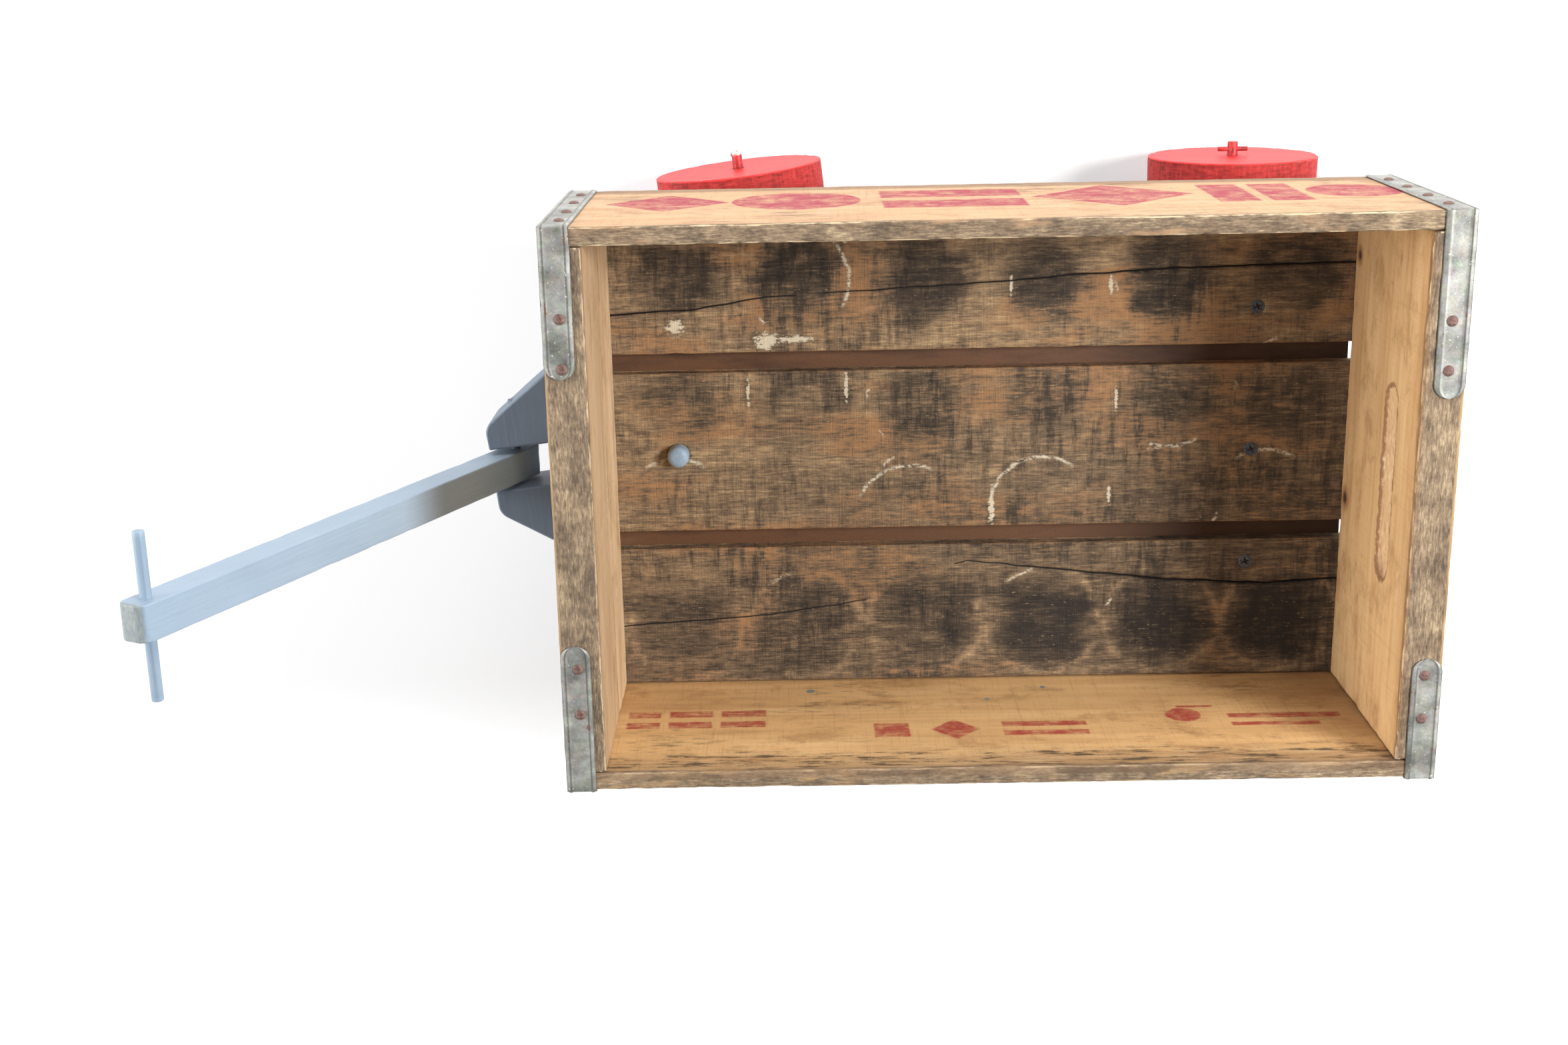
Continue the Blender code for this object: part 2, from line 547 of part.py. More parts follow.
def build_steering(root):
    """Everything that turns about the king pin, in the steering gear's own frame."""
    steer = new_empty("steering_pivot", (KING_PIN_X, 0, 0), root, turn=STEER_REST)
    rear = FRONT_AXLE_BEHIND + BOLSTER_THICK / 2
    flare_end = FORK_FRONT + (BLOCK_HALF - FORK_HALF) / FORK_FLARE
    outline = [(FORK_FRONT, -FORK_HALF), (flare_end, -BLOCK_HALF), (rear, -BLOCK_HALF),
               (rear, BLOCK_HALF), (flare_end, BLOCK_HALF), (FORK_FRONT, FORK_HALF),
               (FORK_FRONT, SLOT_HALF), (SLOT_END, SLOT_HALF), (SLOT_END, -SLOT_HALF),
               (FORK_FRONT, -SLOT_HALF)]
    bm = bmesh.new()
    outline = rounded(outline, {0: FORK_ROUND, 1: 0.012, 4: 0.012, 5: FORK_ROUND})
    add_prism(bm, outline, BLOCK_FOOT, BLOCK_TOP)
    block = new_object("steering_block", bm, "blue_paint", steer)

    middle = Vector((FRONT_AXLE_BEHIND, 0, WHEEL_RADIUS))
    holes = bmesh.new()
    add_turned(holes, rod_profile(KING_PIN_RADIUS + RUNNING_GAP, BLOCK_FOOT - 0.002, BLOCK_TOP + 0.002),
               Matrix.Identity(4), steps=32)
    pivot = Vector((HANDLE_PIVOT_OUT, HANDLE_PIVOT_Y, BLOCK_TOP - BLOCK_THICK / 2))
    across = Vector((-math.sin(-STEER_REST), math.cos(-STEER_REST), 0))  # square to the handle
    add_turned(holes, rod_profile(HINGE_PIN_RADIUS + GAP / 2, -0.06, 0.06), along(across, pivot), steps=24)
    screw_foot = BLOCK_FOOT - GAP - FRONT_AXLE_DEPTH
    reach = BLOCK_SCREW_LENGTH - FRONT_AXLE_DEPTH + 0.001
    for y in BLOCK_SCREWS_Y:
        add_turned(holes, rod_profile(SCREW_SHANK + GAP / 2, BLOCK_FOOT - 0.002, BLOCK_FOOT + reach),
                   Matrix.Translation((middle.x - 0.010, y, 0)), steps=16)
    cut(block, holes, steer)

    half_y = FRONT_WHEEL_FACE - WHEEL_THICK - WHEEL_PLAY
    low = (middle.x - BOLSTER_THICK / 2, -half_y, screw_foot)
    high = (middle.x + BOLSTER_THICK / 2, half_y, BLOCK_FOOT - GAP)
    axle_block, holes = build_bored_block("front_axle_block", steer, low, high, (middle.x, middle.z))
    for y in BLOCK_SCREWS_Y:
        flip = Matrix.Translation((middle.x - 0.010, y, screw_foot)) @ Matrix.Rotation(math.pi, 4, "X")
        hole = bmesh.new()
        screw_hole(hole, 0, 0, 0, BLOCK_SCREW_LENGTH)
        bmesh.ops.transform(hole, matrix=flip, verts=hole.verts)
        part = bpy.data.meshes.new("screw_hole")
        hole.to_mesh(part)
        hole.free()
        holes.from_mesh(part)
        bpy.data.meshes.remove(part)
        side = "left" if y > 0 else "right"
        build_screw(f"{side}_axle_block_screw", steer, flip, BLOCK_SCREW_LENGTH)
    cut(axle_block, holes, steer)

    whole = FRONT_WHEEL_FACE + AXLE_PIN_OUT
    broken = FRONT_WHEEL_FACE + BROKEN_PIN_OUT
    build_axle("front_axle", steer, FRONT_AXLE_END, (broken, -whole), middle)
    build_axle_pin("front_left_axle_pin", steer, (middle.x - 0.0005, broken, middle.z), BROKEN_PIN_LENGTH)
    build_axle_pin("front_right_axle_pin", steer, (middle.x, -whole, middle.z), AXLE_PIN_LENGTH)
    for side, sign in (("left", 1), ("right", -1)):
        place = (middle.x, sign * (FRONT_WHEEL_FACE - WHEEL_THICK / 2), middle.z)
        build_wheel(f"front_{side}_wheel", new_empty(f"front_{side}_hub", place, steer))

    bm = bmesh.new()
    add_turned(bm, rod_profile(HINGE_PIN_RADIUS, -HINGE_PIN_RIGHT, HINGE_PIN_LEFT, 0.0005),
               along(across, pivot), steps=24)
    new_object("handle_hinge_pin", bm, "blue_paint", steer, smooth=True)
    build_handle(new_empty("handle_pivot", pivot, steer, turn=-STEER_REST))


def build_handle(hinge):
    """The bar is drawn lying flat along -X from its pivot, then raised about local Y."""
    raised = Matrix.Rotation(HANDLE_RAISED, 4, "Y")
    half = HANDLE_DEPTH / 2
    outline = [(-HANDLE_LENGTH, -half), (HANDLE_TAIL, -half), (HANDLE_TAIL, half), (-HANDLE_LENGTH, half)]
    outline = rounded(outline, {0: HANDLE_ROUND, 1: 0.003, 2: 0.003, 3: HANDLE_ROUND})
    bm = bmesh.new()
    add_prism(bm, outline, -HANDLE_WIDTH / 2, HANDLE_WIDTH / 2)
    # The outline's y is the bar's depth, and the prism runs across the bar.
    lay = Matrix(((1, 0, 0, 0), (0, 0, -1, 0), (0, 1, 0, 0), (0, 0, 0, 1)))
    bmesh.ops.transform(bm, matrix=raised @ lay, verts=bm.verts)
    bar = new_object("handle_bar", bm, "blue_paint", hinge)
    holes = bmesh.new()
    across = along((0, 1, 0), (0, 0, 0))
    add_turned(holes, rod_profile(HINGE_PIN_RADIUS + RUNNING_GAP, -0.02, 0.02), across, steps=24)
    grip_centre = raised @ Vector((-GRIP_OUT, 0, 0))
    grip = along((0, 1, 0), grip_centre)
    add_turned(holes, rod_profile(GRIP_RADIUS + GAP / 2, -0.02, 0.02), grip, steps=24)
    cut(bar, holes, hinge)
    bm = bmesh.new()
    add_turned(bm, rod_profile(GRIP_RADIUS, -GRIP_HALF, GRIP_HALF, 0.0006), grip, steps=24)
    new_object("handle_grip", bm, "blue_paint", hinge, smooth=True)


def stand_on_origin(root):
    """Moves the whole wagon so that the origin is the bottom centre of its box."""
    bpy.context.view_layer.update()
    points = [obj.matrix_world @ vertex.co for obj in bpy.data.objects
              if obj.type == "MESH" and not obj.hide_render for vertex in obj.data.vertices]
    low = [min(p[i] for p in points) for i in range(3)]
    high = [max(p[i] for p in points) for i in range(3)]
    root.location = (-(low[0] + high[0]) / 2, -(low[1] + high[1]) / 2, -low[2])


def main():
    clear_scene()
    root = new_empty("wagon", (0, 0, 0))
    build_crate(root)
    build_rear_gear(root)
    build_king_pin(root)
    build_steering(root)
    stand_on_origin(root)


main()
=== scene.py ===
"""Looks of the crate wagon. Lengths are in metres, in the CAD's frame: front is -X, left +Y, up +Z."""

import json
import math

import bmesh
import bpy
from mathutils import Matrix, Vector, noise


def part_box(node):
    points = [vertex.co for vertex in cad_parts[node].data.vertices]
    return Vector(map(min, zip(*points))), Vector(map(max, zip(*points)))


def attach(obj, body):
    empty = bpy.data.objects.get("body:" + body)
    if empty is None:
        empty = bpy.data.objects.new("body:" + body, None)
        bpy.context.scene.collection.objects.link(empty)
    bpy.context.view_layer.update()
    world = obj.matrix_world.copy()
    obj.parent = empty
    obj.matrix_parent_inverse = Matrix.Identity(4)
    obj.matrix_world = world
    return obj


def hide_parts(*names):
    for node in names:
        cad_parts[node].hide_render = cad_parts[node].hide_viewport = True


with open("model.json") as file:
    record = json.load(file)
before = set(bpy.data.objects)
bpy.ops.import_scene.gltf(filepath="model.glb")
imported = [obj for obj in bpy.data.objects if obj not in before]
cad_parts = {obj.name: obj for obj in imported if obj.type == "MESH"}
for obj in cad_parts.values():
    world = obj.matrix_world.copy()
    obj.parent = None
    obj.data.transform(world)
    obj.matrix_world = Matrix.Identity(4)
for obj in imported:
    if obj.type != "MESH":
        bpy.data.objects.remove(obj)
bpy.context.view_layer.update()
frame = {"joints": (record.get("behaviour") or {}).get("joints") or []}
JOINTS = {joint["name"]: joint for joint in frame["joints"]}
MM = 0.001

# ---------------------------------------------------------------- camera, light and floor

CAMERA_AT = Vector((-0.00643783, 0.28516756, 1.24690874))
CAMERA_RIGHT = Vector((0.9998, -0.0202, -0.0071))
CAMERA_UP = Vector((0.0173, 0.9587, -0.2839))
CAMERA_LENS = 44.82
KEY_DIRECTION = Vector((0.66, 0.18, 0.72)).normalized()
BACK_DIRECTION = Vector((0.12, 0.95, 0.30)).normalized()
FILL_DIRECTION = Vector((-0.93, 0.10, 0.37)).normalized()
HORIZON_LIGHT = 0.60
ZENITH_LIGHT = 0.10
FLOOR_GLOW = 0.30


def srgb(red, green, blue):
    """A colour as seen on a screen, 0 to 1, turned into the linear values that shaders use."""
    def linear(c):
        return c / 12.92 if c <= 0.04045 else ((c + 0.055) / 1.055) ** 2.4
    return (linear(red), linear(green), linear(blue), 1.0)


def make_camera():
    camera = bpy.data.objects.new("camera", bpy.data.cameras.new("camera"))
    bpy.context.scene.collection.objects.link(camera)
    right = CAMERA_RIGHT.normalized()
    back = right.cross(CAMERA_UP).normalized()
    up = back.cross(right)
    camera.matrix_world = Matrix((
        (right.x, up.x, back.x, CAMERA_AT.x), (right.y, up.y, back.y, CAMERA_AT.y),
        (right.z, up.z, back.z, CAMERA_AT.z), (0, 0, 0, 1)))
    camera.data.lens = CAMERA_LENS
    camera.data.sensor_width = 36.0
    camera.data.clip_start = 0.01
    camera.data.clip_end = 50.0
    bpy.context.scene.camera = camera


def soft_light(name, direction, distance, size, power):
    light = bpy.data.objects.new(name, bpy.data.lights.new(name, "AREA"))
    bpy.context.scene.collection.objects.link(light)
    light.data.shape = "DISK"
    light.data.size = size
    light.data.energy = power
    target = Vector((0.05, 0.0, 0.12))
    light.location = target + direction * distance
    light.rotation_mode = "QUATERNION"
    light.rotation_quaternion = direction.to_track_quat("Z", "Y")


def make_stage():
    scene = bpy.context.scene
    scene.view_settings.view_transform = "Standard"
    world = bpy.data.worlds.new("studio")
    scene.world = world
    world.use_nodes = True
    tree = world.node_tree
    split = tree.nodes.new("ShaderNodeSeparateXYZ")
    tree.links.new(tree.nodes.new("ShaderNodeTexCoord").outputs["Generated"], split.inputs[0])
    fade = tree.nodes.new("ShaderNodeMapRange")
    tree.links.new(split.outputs["Z"], fade.inputs["Value"])
    fade.inputs["From Min"].default_value = 0.05
    fade.inputs["From Max"].default_value = 0.80
    fade.inputs["To Min"].default_value = HORIZON_LIGHT
    fade.inputs["To Max"].default_value = ZENITH_LIGHT
    tree.links.new(fade.outputs["Result"], tree.nodes["Background"].inputs["Strength"])
    tree.nodes["Background"].inputs["Color"].default_value = (1.0, 1.0, 1.0, 1.0)
    soft_light("key", KEY_DIRECTION, 2.0, 0.70, 54.0)
    soft_light("back", BACK_DIRECTION, 2.2, 1.4, 27.0)
    soft_light("fill", FILL_DIRECTION, 2.4, 1.6, 64.0)
    bm = bmesh.new()
    bmesh.ops.create_grid(bm, x_segments=8, y_segments=8, size=5.0)
    mesh = bpy.data.meshes.new("floor")
    bm.to_mesh(mesh)
    bm.free()
    floor = bpy.data.objects.new("floor", mesh)
    scene.collection.objects.link(floor)
    look = Look("paper_floor")
    tone = look.noise(0.4, detail=2)
    colour = look.ramp(tone, (0.3, srgb(0.865, 0.865, 0.870)), (0.7, srgb(0.885, 0.885, 0.885)))
    look.finish(colour, 0.9)
    look.shader.inputs["Emission Color"].default_value = (1.0, 1.0, 1.0, 1.0)
    look.shader.inputs["Emission Strength"].default_value = FLOOR_GLOW
    mesh.materials.append(look.material)


# ---------------------------------------------------------------- node materials

class Look:
    """A node material being built. Each method adds a node and returns its output."""

    def __init__(self, name, metallic=0.0):
        self.material = bpy.data.materials.new(name)
        self.material.use_nodes = True
        self.tree = self.material.node_tree
        self.shader = self.tree.nodes["Principled BSDF"]
        self.shader.inputs["Metallic"].default_value = metallic
        self.place = self.tree.nodes.new("ShaderNodeTexCoord").outputs["Object"]
        split = self.tree.nodes.new("ShaderNodeSeparateXYZ")
        self.tree.links.new(self.place, split.inputs[0])
        self.x, self.y, self.z = split.outputs

    def feed(self, socket, source):
        if isinstance(source, bpy.types.NodeSocket):
            self.tree.links.new(source, socket)
        else:
            socket.default_value = source

    def math(self, operation, *sources):
        node = self.tree.nodes.new("ShaderNodeMath")
        node.operation = operation
        for socket, source in zip(node.inputs, sources):
            self.feed(socket, source)
        return node.outputs[0]

    def total(self, *terms):
        """The sum of (source, weight) pairs."""
        result = 0.0
        for source, weight in terms:
            result = self.math("MULTIPLY_ADD", source, weight, result)
        return result

    def product(self, *sources):
        result = sources[0]
        for source in sources[1:]:
            result = self.math("MULTIPLY", result, source)
        return result

    def minus(self, value, other):
        return self.math("SUBTRACT", value, other)

    def length(self, across, along):
        """The length of a vector from its two parts."""
        squares = self.total((self.product(across, across), 1.0), (self.product(along, along), 1.0))
        return self.math("SQRT", squares)

    def wobble(self, noise, reach):
        """A small shift, from minus half the reach to half the reach."""
        return self.total((noise, reach), (1.0, -reach / 2))

    def step(self, value, start, stop):
        """0 before start and 1 after stop, smooth between. Start may be the larger."""
        node = self.tree.nodes.new("ShaderNodeMapRange")
        node.interpolation_type = "SMOOTHSTEP"
        self.feed(node.inputs["Value"], value)
        node.inputs["From Min"].default_value = start
        node.inputs["From Max"].default_value = stop
        return node.outputs["Result"]

    def inside(self, value, low, high, soft):
        return self.product(self.step(value, low - soft, low + soft),
                            self.step(value, high + soft, high - soft))

    def scaled(self, sizes, shift=0.0):
        """Coordinates in which features of these sizes, or of one size all ways, are 1 unit wide."""
        sizes = sizes if isinstance(sizes, tuple) else (sizes, sizes, sizes)
        node = self.tree.nodes.new("ShaderNodeMapping")
        self.tree.links.new(self.place, node.inputs["Vector"])
        node.inputs["Location"].default_value = (shift * 3.7, shift * 5.3, shift * 7.1)
        node.inputs["Scale"].default_value = tuple(1.0 / size for size in sizes)
        return node.outputs[0]

    def noise(self, sizes, detail=3.0, rough=0.55, distort=0.0, shift=0.0):
        """Cloudy noise, 0 to 1, whose features are about this size along X, Y and Z."""
        node = self.tree.nodes.new("ShaderNodeTexNoise")
        self.tree.links.new(self.scaled(sizes, shift), node.inputs["Vector"])
        node.inputs["Scale"].default_value = 1.0
        node.inputs["Detail"].default_value = detail
        node.inputs["Roughness"].default_value = rough
        node.inputs["Distortion"].default_value = distort
        return node.outputs["Fac"]

    def cells(self, sizes, shift=0.0):
        """A random colour for each cell of about this size."""
        node = self.tree.nodes.new("ShaderNodeTexVoronoi")
        self.tree.links.new(self.scaled(sizes, shift), node.inputs["Vector"])
        node.inputs["Scale"].default_value = 1.0
        return node.outputs["Color"]

    def ramp(self, value, *stops):
        node = self.tree.nodes.new("ShaderNodeValToRGB")
        self.tree.links.new(value, node.inputs["Fac"])
        elements = node.color_ramp.elements
        while len(elements) < len(stops):
            elements.new(0.5)
        for element, (position, colour) in zip(elements, sorted(stops)):
            element.position = position
            element.color = colour
        return node.outputs["Color"]

    def mix(self, base, over, mask, blend="MIX"):
        node = self.tree.nodes.new("ShaderNodeMix")
        node.data_type = "RGBA"
        node.blend_type = blend
        self.feed(node.inputs[0], mask)
        self.feed(node.inputs[6], base)
        self.feed(node.inputs[7], over)
        return node.outputs[2]

    def tint(self, base, over, *masks):
        """Lays a colour over the base, as strongly as all the masks together let it through."""
        return self.mix(base, over, self.product(*masks))

    def attribute(self, name):
        node = self.tree.nodes.new("ShaderNodeAttribute")
        node.attribute_name = name
        return node.outputs["Fac"]

    def finish(self, colour, roughness, height=None, depth=0.0003, strength=0.7):
        self.feed(self.shader.inputs["Base Color"], colour)
        self.feed(self.shader.inputs["Roughness"], roughness)
        if height is not None:
            bump = self.tree.nodes.new("ShaderNodeBump")
            bump.inputs["Strength"].default_value = strength
            bump.inputs["Distance"].default_value = depth
            self.tree.links.new(height, bump.inputs["Height"])
            self.tree.links.new(bump.outputs["Normal"], self.shader.inputs["Normal"])
        return self.material


def lie(axis, long, wide):
    """Feature sizes for grain that runs along an axis."""
    return tuple(long if name == axis else wide for name in "XYZ")


def grain_of(look, axis, seed, pitch=0.006, swirl=3.0):
    """Growth rings, broad figure and fine fibre of a board whose grain runs along an axis."""
    across = [source for name, source in zip("XYZ", (look.x, look.y, look.z)) if name != axis]
    sweep = look.noise(lie(axis, 0.30, 0.045), detail=1.0, shift=seed)
    phase = look.total((across[0], 1.0 / pitch), (across[1], 1.0 / pitch), (sweep, swirl * 2.0))
    ring = look.math("SINE", look.math("MULTIPLY", phase, 2.0 * math.pi))
    rings = look.step(ring, -1.0, 1.0)
    figure = look.noise(lie(axis, 0.14, 0.010), detail=3.0, distort=0.4, shift=seed + 1.0)
    fibre = look.noise(lie(axis, 0.022, 0.0006), detail=3.0, rough=0.7, shift=seed + 2.0)
    return rings, figure, fibre


def worn_wood(name, axis, tones, seed, rim_grey=0.6, dirt=0.4, marks=None, lines=0.5, figure_weight=0.40):
    """Old planed softwood, grey and furry on its upper rim. tones are its dark, middle and pale colours;
    lines is how plainly the saw's cross lines show; marks adds paint, knots or a hand-hold."""
    look = Look(name)
    rings, figure, fibre = grain_of(look, axis, seed, pitch=0.013, swirl=3.5)
    value = look.total((rings, 0.04), (figure, figure_weight), (fibre, 0.24),
                       (1.0, 0.42 - 0.5 * figure_weight))
    colour = look.ramp(value, (0.30, tones[0]), (0.55, tones[1]), (0.84, tones[2]))
    warm = look.noise(lie(axis, 0.16, 0.05), detail=2.0, shift=seed + 3.0)
    colour = look.tint(colour, tones[0], look.step(warm, 0.50, 0.75), 0.40)
    cloud = look.noise((0.034, 0.034, 0.022), detail=6.0, rough=0.70, distort=0.3, shift=seed + 14.0)
    colour = look.tint(colour, tones[0], look.step(cloud, 0.49, 0.68), 0.60)

    # Lines that the saw left square across the grain.
    saw = look.noise(lie(axis, 0.0011, 0.035), detail=3.0, rough=0.6,
                     shift=seed + 9.0)
    streak = look.noise(lie(axis, 0.006, 0.09), detail=4.0, rough=0.65,
                        shift=seed + 10.0)
    colour = look.tint(colour, tones[0], look.step(saw, 0.54, 0.70), 0.55 * lines)
    colour = look.tint(colour, tones[0], look.step(streak, 0.55, 0.75), 0.60 * lines)
    fleck = look.noise(lie(axis, 0.0055, 0.0009), detail=3.0, rough=0.7, shift=seed + 4.0)
    colour = look.tint(colour, tones[2], look.step(fleck, 0.60, 0.72), 0.28)
    pore = look.noise(lie(axis, 0.0065, 0.0007), detail=2.0, rough=0.7, shift=seed + 13.0)
    colour = look.tint(colour, srgb(0.44, 0.29, 0.16), look.step(pore, 0.66, 0.76), 0.45)

    # Dark rubbed patches and scratches.
    soot = look.noise(lie(axis, 0.018, 0.0035), detail=6.0, rough=0.72, shift=seed + 6.0)
    patch = look.noise(0.07, detail=2.0, shift=seed + 7.0)
    mask = look.product(look.step(look.total((soot, 0.7), (patch, 0.5)), 0.66, 0.80), dirt)
    colour = look.mix(colour, srgb(0.20, 0.16, 0.125), mask)

    # The upper rim: grey, furry, black in places, with a few bright splinters along its edges.
    fur = look.noise(lie(axis, 0.0060, 0.0011), detail=5.0, rough=0.75, shift=seed + 11.0)
    wide = look.noise(lie(axis, 0.040, 0.010), detail=4.0, rough=0.6, shift=seed + 12.0)
    weathered = look.noise(0.016, detail=6.0, rough=0.72, shift=seed + 15.0)
    tone = look.ramp(look.total((fur, 0.48), (wide, 0.24), (weathered, 0.34)),
                     (0.40, srgb(0.215, 0.175, 0.135)),
                     (0.485, srgb(0.385, 0.32, 0.25)), (0.56, srgb(0.535, 0.455, 0.36)),
                     (0.66, srgb(0.75, 0.66, 0.52)))
    top = look.step(look.total((look.z, 1.0), (fur, 0.006), (wide, 0.006)), 0.2725, 0.2755)
    bare = look.step(look.total((wide, 1.0), (patch, 0.4)), 0.95 - 0.6 * rim_grey, 0.80 - 0.6 * rim_grey)
    colour = look.tint(colour, tone, top, look.total((bare, -0.55), (1.0, 0.97)))
    edge = look.attribute("edge")
    splinter = look.product(look.step(edge, 0.70, 0.95),
                            look.step(look.noise(lie(axis, 0.014, 0.0016), detail=4.0, shift=seed + 8.0),
                                      0.49, 0.58))
    colour = look.tint(colour, srgb(0.92, 0.82, 0.66), splinter, 0.80)
    # Darker below a height of about 0.13 m, along the bottom of the board.
    darkening = look.step(look.total((look.z, -1.0), (soot, 0.012)), -0.134, -0.126)
    colour = look.tint(colour, srgb(0.30, 0.23, 0.17), darkening, 0.5)
    if marks:
        colour = marks(look, colour, fibre)
    height = look.total((fibre, 0.7), (saw, 0.5 * lines), (pore, -0.5), (look.product(fur, top), 1.6),
                        (soot, 0.3))
    roughness = look.total((fibre, 0.15), (1.0, 0.66))
    look.finish(colour, roughness, height, depth=0.0005, strength=0.8)
    return look.material


# ---------------------------------------------------------------- marks on the boards

STENCIL_RED = srgb(0.63, 0.13, 0.25)
STENCIL_DEEP = srgb(0.62, 0.085, 0.13)


def disc(look, u, v, centre_u, centre_v, radius, soft=0.0008):
    du = look.minus(u, centre_u)
    dv = look.minus(v, centre_v)
    distance = look.length(du, dv)
    return look.step(distance, radius + soft, radius - soft)


def diamond(look, u, v, centre_u, centre_v, radius, soft=0.0010):
    du = look.math("ABSOLUTE", look.minus(u, centre_u))
    dv = look.math("ABSOLUTE", look.minus(v, centre_v))
    return look.step(look.math("ADD", du, dv), radius + soft, radius - soft)


def bar(look, u, v, low_u, high_u, low_v, high_v, soft=0.0008):
    return look.product(look.inside(u, low_u, high_u, soft), look.inside(v, low_v, high_v, soft))


def any_of(look, masks):
    result = masks[0]
    for mask in masks[1:]:
        result = look.math("MAXIMUM", result, mask)
    return result


def stencil(look, colour, fibre, masks, side, paint, cover):
    """Plain painted shapes on one face of a board, thin where the wood has shed the paint."""
    thin = look.noise(0.010, detail=4.0, rough=0.7, shift=21.0)
    worn = look.math("MULTIPLY", look.step(look.total((fibre, 0.6), (thin, 0.6)), 0.80, 0.52), cover)
    return look.tint(colour, paint, any_of(look, masks), side, worn)


def left_board_marks(look, colour, fibre):
    """A band of plain shapes on the outer face: the crate's lettering isn't copied."""
    wobble = look.wobble(look.noise(0.012, shift=30.0), 0.0022)
    u = look.math("ADD", look.x, wobble)
    v = look.math("ADD", look.z, wobble)
    middle = 0.183
    masks = [diamond(look, u, v, -0.080, middle, 0.034),
             disc(look, u, v, -0.010, middle, 0.035),
             bar(look, u, v, 0.036, 0.112, middle + 0.006, middle + 0.036),
             bar(look, u, v, 0.036, 0.112, middle - 0.036, middle - 0.006),
             diamond(look, u, v, 0.161, middle, 0.044),
             bar(look, u, v, 0.212, 0.234, middle - 0.036, middle + 0.036),
             bar(look, u, v, 0.240, 0.262, middle - 0.036, middle + 0.036),
             disc(look, u, v, 0.292, middle, 0.026)]
    outer = look.step(look.y, 0.1500, 0.1510)
    return stencil(look, colour, fibre, masks, outer, STENCIL_RED, 0.97)


def right_board_marks(look, colour, fibre):
    """Three groups of plain bars and spots on the inner face, flecks of blue paint, and a painted shadow of
    the rear board in the rear corner.
    """
    wobble = look.wobble(look.noise(0.006, shift=31.0), 0.0016)
    u = look.math("ADD", look.x, wobble)
    v = look.math("ADD", look.z, wobble)
    masks = []
    for row in (0.188, 0.204):
        for start, stop in ((-0.113, -0.094), (-0.089, -0.064), (-0.059, -0.033)):
            masks.append(bar(look, u, v, start, stop, row - 0.0045, row + 0.0045))
    masks += [bar(look, u, v, 0.029, 0.049, 0.206, 0.226), bar(look, u, v, 0.102, 0.150, 0.206, 0.213),
              bar(look, u, v, 0.102, 0.150, 0.219, 0.226), diamond(look, u, v, 0.075, 0.216, 0.014),
              bar(look, u, v, 0.232, 0.296, 0.199, 0.206), disc(look, u, v, 0.207, 0.200, 0.010),
              bar(look, u, v, 0.232, 0.282, 0.212, 0.217), bar(look, u, v, 0.205, 0.226, 0.186, 0.189)]
    inner = look.step(look.y, -0.1490, -0.1480)
    colour = stencil(look, colour, fibre, masks, inner, STENCIL_DEEP, 0.88)
    smudge = look.noise((0.024, 0.010, 0.0055), detail=6.0, rough=0.72, shift=35.0)
    band = look.step(look.total((look.z, 1.0), (smudge, 0.030)), 0.252, 0.282)
    colour = look.tint(colour, srgb(0.50, 0.39, 0.28), band, inner, 0.62)
    streak = look.noise((0.040, 0.010, 0.0026), detail=6.0, rough=0.74, shift=35.5)
    rubbed = look.inside(look.z, 0.244, 0.270, 0.007)
    colour = look.tint(colour, srgb(0.80, 0.69, 0.54), look.step(streak, 0.47, 0.38), rubbed, inner, 0.55)
    black = look.product(look.step(look.total((smudge, 0.6), (streak, 0.5)), 0.565, 0.63), rubbed)
    colour = look.tint(colour, srgb(0.17, 0.14, 0.11), black, inner, 0.80)
    # Painted shadow: a darker wedge along the rear end, widest at the foot, stands for the shadow the rear
    # board casts.
    corner = look.step(look.total((look.x, 1.0), (look.z, -0.55), (smudge, 0.05)), 0.155, 0.245)
    colour = look.tint(colour, srgb(0.42, 0.27, 0.15), corner, inner, 0.58)
    spots = [disc(look, u, v, x, z, radius, 0.0006)
             for x, z, radius in ((-0.007, 0.154, 0.0028), (0.097, 0.171, 0.0016), (0.132, 0.153, 0.0018))]
    return look.tint(colour, srgb(0.42, 0.50, 0.54), any_of(look, spots), inner, 0.9)


HANDHOLD_Y = -0.0022
HANDHOLD_Z = 0.2212
HANDHOLD_HALF = 0.054
HANDHOLD_RADIUS = 0.010
HANDHOLD_DEPTH = 0.0016


def weathered_outside(look, colour, fibre, outer, seed):
    """The outer face of an end board: duller than the inside, with grey streaks along the grain."""
    streak = look.noise((0.02, 0.055, 0.0055), detail=6.0, rough=0.70, distort=0.3, shift=seed)
    patch = look.noise((0.05, 0.09, 0.045), detail=4.0, rough=0.6, shift=seed + 1.0)
    dull = look.ramp(look.total((streak, 0.6), (patch, 0.3), (fibre, 0.2)), (0.40, srgb(0.47, 0.36, 0.25)),
                     (0.53, srgb(0.66, 0.53, 0.37)), (0.68, srgb(0.78, 0.66, 0.49)))
    return look.tint(colour, dull, outer, 0.80)


